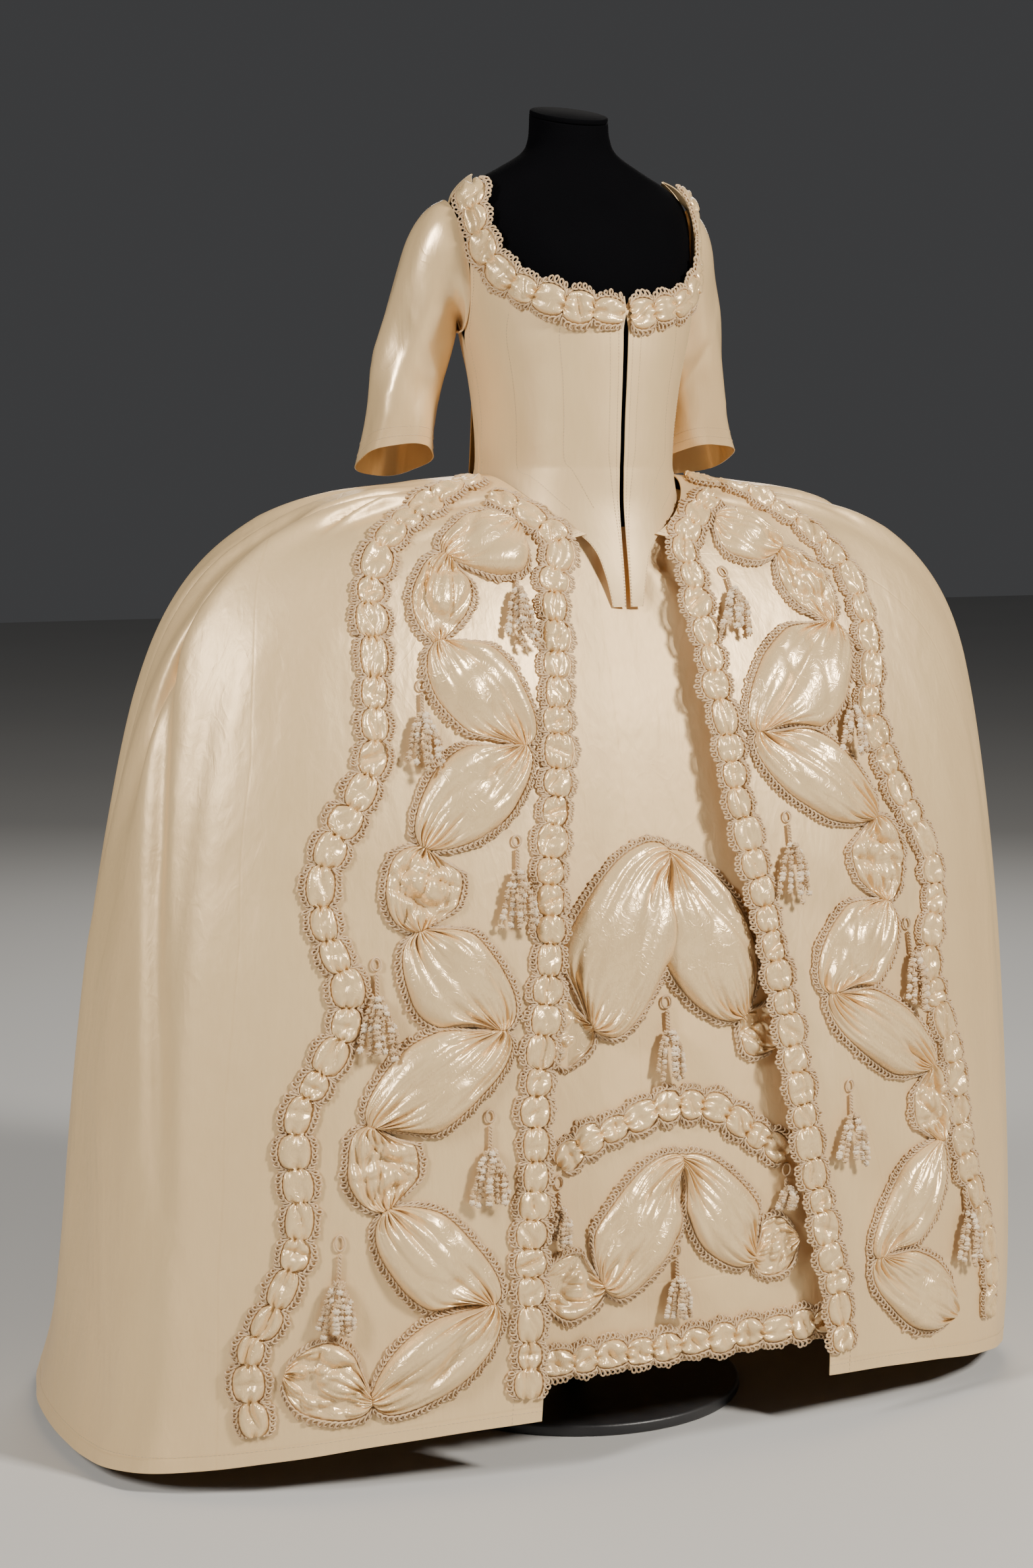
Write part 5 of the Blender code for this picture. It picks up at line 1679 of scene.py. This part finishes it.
@dataclass
class FlyTassel:
    """A fly-fringe tassel: a twisted cord with a loop, and a bunch of knotted strands.

    Attributes:
        row: Where it hangs and how wide its bunch is.
        form: The cloth that it hangs on.
        strands: How many strands it has.
        knots: How many tufts are tied into a strand.
        stem: The cord's share of the whole length.
        pale: The share of its tufts that are pale.
    """

    row: Tassel
    form: Form
    seed: int
    strands: int = 6
    knots: int = 9
    stem: float = 0.30
    ply: float = 0.0012
    twist: float = 0.0075
    loop: float = 0.0052
    cord_lift: float = 0.0042
    floss: float = 0.0013
    tuft_floss: float = 0.0016
    pale: float = 0.38

    def __post_init__(self) -> None:
        """Finds its place on the cloth."""
        row = self.row
        across, height = np.array([row.across, row.end_across]), np.array([row.height, row.end_height])
        turns, places = self.form.find(across, height)
        top, end = self.form.bare(turns, places)
        self.turn, self.place = turns.mean(), places.mean()
        self.length = float(np.linalg.norm(end - top))
        self.down = unit(end - top)
        self.side = unit(np.cross(self.down, self.form.normal(self.turn, self.place)))

    def lay(self, aside: Array, down: Array, lift: Array) -> Array:
        """Points so far aside and down from its top, and so far off the cloth."""
        down = np.asarray(down) - self.length / 2
        vectors = np.asarray(aside)[..., None] * self.side + down[..., None] * self.down
        turn, place = (np.full(vectors.shape[:-1], value) for value in (self.turn, self.place))
        return self.form.lay(turn, place, vectors, lift)

    def cord(self) -> list[Array]:
        """Two twisted plies from the loop down to the bunch."""
        down = np.linspace(0.004, self.stem * self.length, 26)
        plies = []
        for start in (0.0, np.pi):
            turn = 2 * np.pi * down / self.twist + start
            plies.append(self.lay(self.ply * np.cos(turn), down, self.cord_lift + self.ply * np.sin(turn)))
        turn = np.linspace(-0.5 * np.pi, 1.5 * np.pi, 14)
        loop = self.lay(self.loop * np.cos(turn), 0.001 - 0.007 * (1 + np.sin(turn)), 0.0032 + 0 * turn)
        return [*plies, loop]

    def bunch(self, rng: np.random.Generator) -> tuple[list[Array], list[Array]]:
        """The strands with their tan tufts, and the pale tufts."""
        head, half = self.stem * self.length, self.row.half
        tan, pale = [], []
        share = np.linspace(0, 1, 12)
        for strand, lean in enumerate(np.linspace(-1, 1, self.strands)):
            reach = self.length * rng.uniform(0.88, 1.04) - 0.006 * abs(lean)
            swing = rng.uniform(-0.12, 0.12)
            aside = half * (lean + swing) * (0.22 + 0.88 * np.sin(0.5 * np.pi * share) ** 1.2)
            aside = aside + 0.0012 * np.sin(9 * share + strand)
            raised = 0.0050 + 0.013 * (1 - lean * lean) * np.sin(np.pi * np.clip(share, 0.08, 0.8)) ** 0.7
            raised = raised + 0.004 * (strand % 2)
            down = head + (reach - head) * share
            tan.append(self.lay(aside, down, raised))
            for knot in range(self.knots):
                at = (knot + rng.uniform(0.35, 0.85)) / self.knots
                middle = [float(np.interp(at, share, values)) for values in (aside, down, raised)]
                (pale if rng.random() < self.pale else tan).extend(self.tuft(middle, rng))
        return tan, pale

    def tuft(self, middle: Sequence[float], rng: np.random.Generator) -> list[Array]:
        """Three short ends of floss through a knot, each a small arch."""
        ends = []
        for turn in np.linspace(0, np.pi, 3, endpoint=False) + rng.uniform(0, 1):
            reach = rng.uniform(*TUFT_REACHES) * TUFT_SPREAD
            aside = middle[0] + reach * np.cos(turn)
            down = middle[1] + 0.85 * reach * np.sin(turn)
            ends.append(self.lay(aside, down, middle[2] + self.tuft_floss + TUFT_CURL))
        return ends

    def build(self, room: Workroom, floss: "Finish", white: "Finish") -> None:
        """Builds the tassel: its tan cord and strands, and its pale tufts."""
        rng = np.random.default_rng(self.seed)
        tan, pale = self.bunch(rng)
        body = room.cords(f"{self.row.name}_floss", [*self.cord(), *tan], self.floss, floss)
        room.hand_over(body, [self.row.name])
        room.hand_over(room.cords(f"{self.row.name}_tufts", pale, self.tuft_floss, white))


@dataclass
class Petticoat:
    """The petticoat: a tube of satin with folds below its gathered waist and a faced hem."""

    form: HangingForm
    rows: int = 150
    columns: int = 220
    wall: float = 0.0010

    def build(self, room: Workroom, satin: "Finish") -> None:
        """Builds the tube."""
        drop = (np.arange(self.rows + 1) / self.rows)[:, None] ** PETTICOAT_SPACING
        turn = (360 * np.arange(self.columns + 1) / self.columns)[None, :]
        spots = self.form.point(turn, drop + 0 * turn)
        spots[:, -1] = spots[:, 0]
        outward = self.form.normal(turn, drop + 0 * turn)
        piece = room.cloth("petticoat_cloth", spots, outward, satin, self.wall, closed=True)
        room.hand_over(piece, ["petticoat"], PETTICOAT_CUT)


@dataclass
class OpenSkirt:
    """One side of the open skirt, from its front edge to the seam with the loose back.

    Attributes:
        side_name: The wearer's side.
        side: -1 for the right and 1 for the left.
        form: The robe's surface.
        edge: The route of the band on its front edge.
        lean: How far the cloth behind the deep hip fold leans over it, in degrees.
        lip: How far behind that fold's line it leans most, in spreads of the fold.
    """

    side_name: str
    side: int
    form: HangingForm
    edge: Sequence[tuple[float, float]]
    rows: int = 170
    columns: int = 150
    wall: float = 0.0012
    lean: float = 4.6
    lip: float = 1.5

    def places(self) -> tuple[Array, Array]:
        """The turns and drops of its points."""
        across, height = np.array(self.edge).T
        turns, drops = self.form.find(across - self.side * EDGE_INSET, height)
        drop = (np.arange(self.rows + 1) / self.rows)[:, None] ** DROP_SPACING
        first = np.interp(drop, drops, turns)
        share = (np.arange(self.columns + 1) / self.columns)[None, :] ** TURN_SPACING
        return first + (self.side * BACK_SEAM_TURN - first) * share, drop + 0 * share

    def overlap(self, turn: Array, drop: Array) -> Array:
        """How far each point leans over the deep hip fold, in degrees."""
        if HIP_FOLD.side != self.side:
            return np.zeros(turn.shape)
        lip = HIP_FOLD.middle(drop) + self.lip * HIP_FOLD.spread
        return self.lean * HIP_FOLD.opened(drop) * bell(turn, lip, HIP_FOLD.spread)

    def build(self, room: Workroom, satin: "Finish", thread: "Finish") -> None:
        """Builds the cloth, with the stitched hem and front edge."""
        turn, drop = self.places()
        leant = turn - self.side * self.overlap(self.side * turn, drop)
        outward = self.form.normal(leant, drop)
        spots = self.form.bare(leant, drop) + self.form.relief(turn, drop)[..., None] * outward
        node = f"skirt_{self.side_name}"
        piece = room.cloth(f"{node}_cloth", spots, outward, satin, self.wall)
        room.hand_over(piece, [node], SKIRT_CUT)
        down = np.linalg.norm(spots[-1] - spots[-2], axis=1).mean()
        hem, edge = -1 - max(int(HEM_TURN_UP / down), 1), 2
        rows = [(spots[hem], outward[hem]), (spots[:, edge], outward[:, edge])]
        HEM_STITCHING.sew(room, f"{node}_stitches", rows, thread)


@dataclass
class SackBack:
    """The loose back with its two double box pleats, which are sewn down at the neck and open to the train."""

    form: SackForm
    upper_rows: int = 44
    lower_rows: int = 120
    steps: int = 7
    wall: float = 0.0012

    def build(self, room: Workroom, satin: "Finish", thread: "Finish") -> None:
        """Builds the cloth, with the stitched neck and hem."""
        reaches = [row.reach for row in PLEATS]
        place = np.arange((len(PLEATS) - 1) * self.steps + 1) / self.steps
        half = np.interp(place, range(len(PLEATS)), reaches)
        reach = np.concatenate([-half[:0:-1], half])[None, :]
        upper = WAIST_FALL * np.arange(self.upper_rows) / self.upper_rows
        lower = (np.arange(self.lower_rows + 1) / self.lower_rows) ** DROP_SPACING
        fall = np.concatenate([upper, WAIST_FALL + (1 - WAIST_FALL) * lower])[:, None]
        spots = self.form.point(reach + 0 * fall, fall + 0 * reach)
        outward = self.form.normal(reach + 0 * fall, fall + 0 * reach)
        piece = room.cloth("sack_back_cloth", spots, outward, satin, self.wall)
        room.hand_over(piece, ["sack_back"], SACK_CUT)
        hem, neck = -3, 2
        rows = [(spots[row], outward[row]) for row in (hem, neck)]
        HEM_STITCHING.sew(room, "sack_back_stitches", rows, thread)


@dataclass
class Bodice:
    """The fitted bodice: two fronts that meet at the centre, and the back beneath the loose one.

    Attributes:
        form: The surface that it lies on.
        steps: How many rows of points to put between two rows of its tables.
        tuck: How far its waist edge reaches down behind the skirt's.
        strap: Where the strap's line is, as a share of the way from the centre back to the edge.
    """

    form: BodyForm
    steps: int = 6
    columns: int = 44
    wall: float = 0.0012
    tuck: float = 0.0085
    strap: float = 0.8
    outside: float = 0.2

    def front(self, room: Workroom, side_name: str, side: int, satin: "Finish", thread: "Finish") -> None:
        """One front, with a row of stitches along its centre edge and its seams."""
        count = (len(FRONT_ROWS) - 1) * self.steps
        rows = [
            row._replace(outer_height=row.outer_height - self.tuck) if k in WAIST_ROWS else row
            for k, row in enumerate(FRONT_ROWS)
        ]
        lines = along_table(rows, np.arange(count + 1) / self.steps)
        inner_turn, inner_height, outer_turn, outer_height = lines.T[..., None]
        share = (np.arange(self.columns + 1) / self.columns)[None, :]
        turn = side * (inner_turn + (outer_turn - inner_turn) * share)
        height = inner_height + (outer_height - inner_height) * share
        spots, outward = self.form.point(turn, height), self.form.normal(turn, height)
        node = f"bodice_{side_name}"
        piece = room.cloth(f"{node}_cloth", spots, outward, satin, self.wall)
        room.hand_over(piece, [node], FRONT_CUT)
        centre = slice(0, NECK_ROW * self.steps)
        seam = slice(SEAM_ROW * self.steps, NECK_ROW * self.steps)
        stretches = [(centre, 1), (centre, 3), (slice(None), -3), (seam, 15), (seam, 29)]
        rows = [(spots[stretch, column], outward[stretch, column]) for stretch, column in stretches]
        BODICE_STITCHING.sew(room, f"{node}_stitches", rows, thread)

    def from_centre(self, centre: Array, strap: Array, edge: Array, reach: Array) -> Array:
        """A value of the back's points, from its centre past the strap's line to its edge."""
        outer = strap + (edge - strap) * (reach - self.strap) / self.outside
        return np.where(reach < self.strap, centre + (strap - centre) * reach / self.strap, outer)

    def back(self, room: Workroom, satin: "Finish") -> None:
        """The back, in one piece from side seam to side seam."""
        place = np.arange((len(BACK_ROWS) - 1) * self.steps + 1) / self.steps
        lines = along_table(BACK_ROWS, place)
        heights = [1, 3, 4]
        lines[:, heights] -= self.tuck * np.clip(1 - place, 0, 1)[:, None]
        edge_turn, edge_height, strap_turn, strap_height, centre_height = lines.T[..., None]
        reach = np.linspace(1, 0, self.columns + 1)[None, :]
        turn = self.from_centre(180, strap_turn, edge_turn, reach)
        height = self.from_centre(centre_height, strap_height, edge_height, reach)
        turn = np.concatenate([turn, 360 - turn[:, -2::-1]], axis=1)
        height = np.concatenate([height, height[:, -2::-1]], axis=1)
        spots, outward = self.form.point(turn, height), self.form.normal(turn, height)
        piece = room.cloth("bodice_back_cloth", spots, outward, satin, self.wall)
        room.hand_over(piece, ["bodice_back"], BACK_CUT)


@dataclass
class Sleeve:
    """An elbow-length sleeve, open at the armhole and at the cuff, with long folds and a stitched cuff."""

    side_name: str
    side: int
    rows: int = 84
    columns: int = 72
    wall: float = 0.0011
    fold: float = 0.0042
    most: float = 0.0032
    easing: float = 0.0004
    free: float = 0.12
    free_reach: float = 0.35
    elbow: float = 0.66
    elbow_spread: float = 0.17

    def relief(self, angle: Array, share: Array) -> Array:
        """How far its folds raise the cloth: long ones, some round the bend of the arm, and small gathers."""
        lower = np.clip((share - self.free) / self.free_reach, 0, 1)
        drags = np.sin(2 * angle + 13.0 * share + self.side) + 0.7 * np.sin(5 * angle - 8.0 * share)
        ridges = 0.75 - 1.5 * abs(np.sin(1.5 * angle + 9 * share)) ** 0.6
        rings = bell(share, self.elbow, self.elbow_spread) * ridges
        gathered = bell(share, 0, 0.10) * np.sin(13 * angle) * (np.sin(angle) ** 2)
        folds = self.fold * (lower * 0.55 * drags + 0.5 * rings)
        return np.minimum(folds + self.easing * gathered * (share > 0.02), self.most)

    def build(self, room: Workroom, satin: "Finish", thread: "Finish") -> None:
        """Builds the tube and the stitches at its cuff."""
        share = np.arange(self.rows + 1) / self.rows
        table = along_table(SLEEVE_ROWS, share * (len(SLEEVE_ROWS) - 1))
        across, back, height, long, deep, lean, dip, saddle = table.T[..., None]
        lean, dip = np.radians(lean), np.radians(dip)
        angle = (2 * np.pi * np.arange(self.columns + 1) / self.columns)[None, :]
        long_way = stacked(self.side * np.sin(lean), 0 * lean, np.cos(lean))
        deep_way = stacked(0 * dip, np.cos(dip), -np.sin(dip))
        c, s = np.cos(angle), np.sin(angle)
        outward = unit((c / long)[..., None] * long_way + (s / deep)[..., None] * deep_way)
        spots = stacked(self.side * across, back, height) + (long * c)[..., None] * long_way
        spots = spots + (deep * s)[..., None] * deep_way
        spots[..., 0] -= self.side * saddle * s**2
        spots = spots + self.relief(angle, share[:, None])[..., None] * outward
        spots[:, -1] = spots[:, 0]
        node = f"sleeve_{self.side_name}"
        piece = room.cloth(f"{node}_cloth", spots, outward, satin, self.wall, closed=True)
        room.hand_over(piece, [node], SLEEVE_CUT)
        rows = [(spots[row], outward[row]) for row in CUFF_ROWS]
        CUFF_STITCHING.sew(room, f"{node}_stitches", rows, thread)


@dataclass
class DressForm:
    """The limbless black dress form, on its pole, which ends in a collar, and its round base."""

    rows: int = 110
    sides: int = 96
    collar: float = 0.030

    def build(self, room: Workroom, jersey: "Finish", iron: "Finish") -> None:
        """Builds the torso, the slanted cap of the neck, the pole and the base."""
        place = np.linspace(0, len(BODY) - 1, self.rows + 1)[:, None]
        turn = (360 * np.arange(self.sides + 1) / self.sides)[None, :]
        height, half, front, back, square = np.moveaxis(along_table(BODY, place), -1, 0)
        x, y, _ = oval(turn, half, front, back, square)
        below, top = BODY[-2:]
        slanted = np.clip((height - below.height) / (top.height - below.height), 0, 1)
        spots = stacked(x, y + FORM_LEAN, height + np.sin(radians(CAP_SLANT)) * slanted * y)
        ends = [np.broadcast_to(row[:-1].mean(axis=0), row.shape)[None] for row in (spots[0], spots[-1])]
        spots = np.concatenate([ends[0], spots, ends[1]])
        spots[:, -1] = spots[:, 0]
        torso = room.skin("dress_form_torso", spots, spots - FORM_MIDDLE, jersey, closed=True)
        room.hand_over(torso, ["form_torso"])
        self.cap(room, jersey)
        self.stand(room, iron)

    def cap(self, room: Workroom, jersey: "Finish") -> None:
        """The flat cap of the neck, set on a slant."""
        top = BODY[-1]
        middle = Vector((0, FORM_LEAN, top.height + SEAM_GAP + 0.75 * CAP_THICK))
        bpy.ops.object.select_all(action="DESELECT")
        bpy.ops.mesh.primitive_cylinder_add(vertices=72, radius=1, depth=1.5 * CAP_THICK, location=middle)
        cap = room.settled("dress_form_cap")
        bpy.ops.object.mode_set(mode="EDIT")
        bpy.ops.mesh.select_all(action="SELECT")
        bpy.ops.transform.resize(value=(top.half, top.front, 1), center_override=middle)
        slant = np.arctan(np.sin(radians(CAP_SLANT)))
        bpy.ops.transform.rotate(value=-slant, orient_axis="X", orient_type="GLOBAL", center_override=middle)
        bpy.ops.object.mode_set(mode="OBJECT")
        room.bevel(cap, 0.0018, 3)
        cap.data.materials.append(room.finish(jersey))
        room.hand_over(cap, ["form_neck_cap"])

    def rod(
        self, room: Workroom, name: str, radius: float, bottom: float, top: float, sides: int
    ) -> bpy.types.Object:
        """A plain upright rod or disc between two heights."""
        middle = (0, 0, (top + bottom) / 2)
        bpy.ops.object.select_all(action="DESELECT")
        bpy.ops.mesh.primitive_cylinder_add(vertices=sides, radius=radius, depth=top - bottom, location=middle)
        return room.settled(name)

    def stand(self, room: Workroom, iron: "Finish") -> None:
        """The pole, with its collar, and the base."""
        bottom, top = BASE_THICK + SEAM_GAP, BODY[0].height - SEAM_GAP
        pole = self.rod(room, "stand_pole", POLE_RADIUS, bottom, top, 48)
        room.ring_out(pole, bottom, self.collar / POLE_RADIUS)
        room.bevel(pole, 0.0015, 3)
        base = self.rod(room, "stand_base", BASE_RADIUS, 0, BASE_THICK, 96)
        room.bevel(base, 0.004, 4)
        for piece, node in ((pole, "form_pole"), (base, "form_base")):
            piece.data.materials.append(room.finish(iron))
            room.hand_over(piece, [node])


def light_room() -> None:
    """The soft lights of the studio, and its faint even light."""
    for light in STUDIO_LIGHTS:
        lamp = bpy.data.lights.new(light.name, "AREA")
        lamp.shape, lamp.size, lamp.size_y = "RECTANGLE", light.width, light.height
        lamp.energy, lamp.color = light.energy, light.colour
        holder = bpy.data.objects.new(light.name, lamp)
        bpy.context.collection.objects.link(holder)
        holder.location = light.place
        aim = Vector(light.aim) - Vector(light.place)
        holder.rotation_euler = aim.to_track_quat("-Z", "Y").to_euler()
    world = bpy.data.worlds.new("studio")
    bpy.context.scene.world = world
    world.use_nodes = True
    background = world.node_tree.nodes["Background"]
    background.inputs["Color"].default_value = (*ROOM_COLOUR, 1)
    background.inputs["Strength"].default_value = ROOM_STRENGTH


def set_up_studio(floor_finish: "Finish", room: Workroom) -> None:
    """The plain floor, the lights and the camera at the photograph's angle."""
    bpy.ops.object.select_all(action="DESELECT")
    bpy.ops.mesh.primitive_plane_add(size=FLOOR_WIDTH)
    floor = room.settled("studio_floor")
    floor.data.materials.append(room.finish(floor_finish))
    light_room()
    camera = bpy.data.cameras.new("camera")
    camera.sensor_fit, camera.sensor_height, camera.lens = "VERTICAL", SENSOR_HEIGHT, CAMERA_LENS
    camera.clip_end = CAMERA_REACH
    holder = bpy.data.objects.new("camera", camera)
    bpy.context.collection.objects.link(holder)
    holder.location = CAMERA_PLACE
    holder.rotation_euler = (radians(90 - CAMERA_TILT), 0, -radians(CAMERA_TURN))
    bpy.context.scene.camera = holder


def trim_side(room: Workroom, side: Side, robe: HangingForm, body: BodyForm, braid: LoopedBraid) -> None:
    """Sews one side's bands, festoon and tassels on its skirt and its bodice front."""
    name, sign = side.name, side.sign
    neckline = [(sign * across, height) for across, height in (*NECKLINE, NECK_TOP)]
    bands = [
        PuffedBand(f"edge_band_{name}", f"skirt_{name}", robe, [*side.waist, *side.edge], EDGE_PUFFS),
        PuffedBand(f"outer_band_{name}", f"skirt_{name}", robe, side.outer, OUTER_PUFFS),
        PuffedBand(f"neck_band_{name}", f"bodice_{name}", body, neckline, NECK_PUFFS),
    ]
    for k, band in enumerate(bands):
        band.seed = 10 * k + side.band_seed
        band.build(room, PUFF_SATIN, FLOSS, braid)
    seed = ROBE_FESTOON_SEED + sign
    festoon = Festoon(f"festoon_{name}", f"skirt_{name}", robe, side.festoon, side.cuts, seed)
    festoon.build(room, PUFF_SATIN, FLOSS, braid)
    for k, row in enumerate(side.tassels):
        FlyTassel(row, robe, ROBE_TASSEL_SEED + 10 * sign + k).build(room, FLOSS, WHITE_FLOSS)


def trim_petticoat(room: Workroom, petticoat: HangingForm, braid: LoopedBraid) -> None:
    """Sews the petticoat's bands, festoons and tassels on it."""
    bands = (("petticoat_arch_band", ARCH, ARCH_PUFFS), ("petticoat_hem_band", HEM_BAND, HEM_PUFFS))
    for k, (node, knots, puffs) in enumerate(bands):
        band = PuffedBand(node, "petticoat", petticoat, knots, puffs, seed=PETTICOAT_BAND_SEED + 3 * k)
        band.build(room, PUFF_SATIN, FLOSS, braid)
    cuts = [Cut.RUCHED, Cut.FULL, Cut.FULL, Cut.RUCHED]
    festoons = (("petticoat_upper_festoon", UPPER_FESTOON), ("petticoat_lower_festoon", LOWER_FESTOON))
    for k, (node, knots) in enumerate(festoons):
        seed = PETTICOAT_FESTOON_SEED + k
        festoon = Festoon(node, "petticoat", petticoat, knots, cuts, seed, sag=PETTICOAT_SAG)
        festoon.build(room, PUFF_SATIN, FLOSS, braid)
    for k, row in enumerate(PETTICOAT_TASSELS):
        FlyTassel(row, petticoat, PETTICOAT_TASSEL_SEED + k).build(room, FLOSS, WHITE_FLOSS)


def main() -> None:
    """Builds the gown on its dress form, and the studio around it."""
    logging.basicConfig(level=logging.INFO, format="%(name)s: %(message)s")
    room, braid = Workroom(), LoopedBraid()
    petticoat = HangingForm(PETTICOAT_RINGS, PETTICOAT_FOLDS, PETTICOAT_DRIFT)
    robe = HangingForm(ROBE_RINGS, [*ROBE_FOLDS, *FINE_FOLDS])
    body = BodyForm()
    DressForm().build(room, JERSEY, IRON)
    Petticoat(petticoat).build(room, PETTICOAT_SATIN)
    SackBack(SackForm(robe)).build(room, SKIRT_SATIN, THREAD)
    bodice = Bodice(body)
    bodice.back(room, BODICE_SATIN)
    for side in SIDES:
        OpenSkirt(side.name, side.sign, robe, side.edge).build(room, SKIRT_SATIN, THREAD)
        bodice.front(room, side.name, side.sign, BODICE_SATIN, THREAD)
        Sleeve(side.name, side.sign).build(room, SLEEVE_SATIN, THREAD)
        trim_side(room, side, robe, body, braid)
    trim_petticoat(room, petticoat, braid)
    set_up_studio(FLOOR, room)


if __name__ == "__main__":
    main()
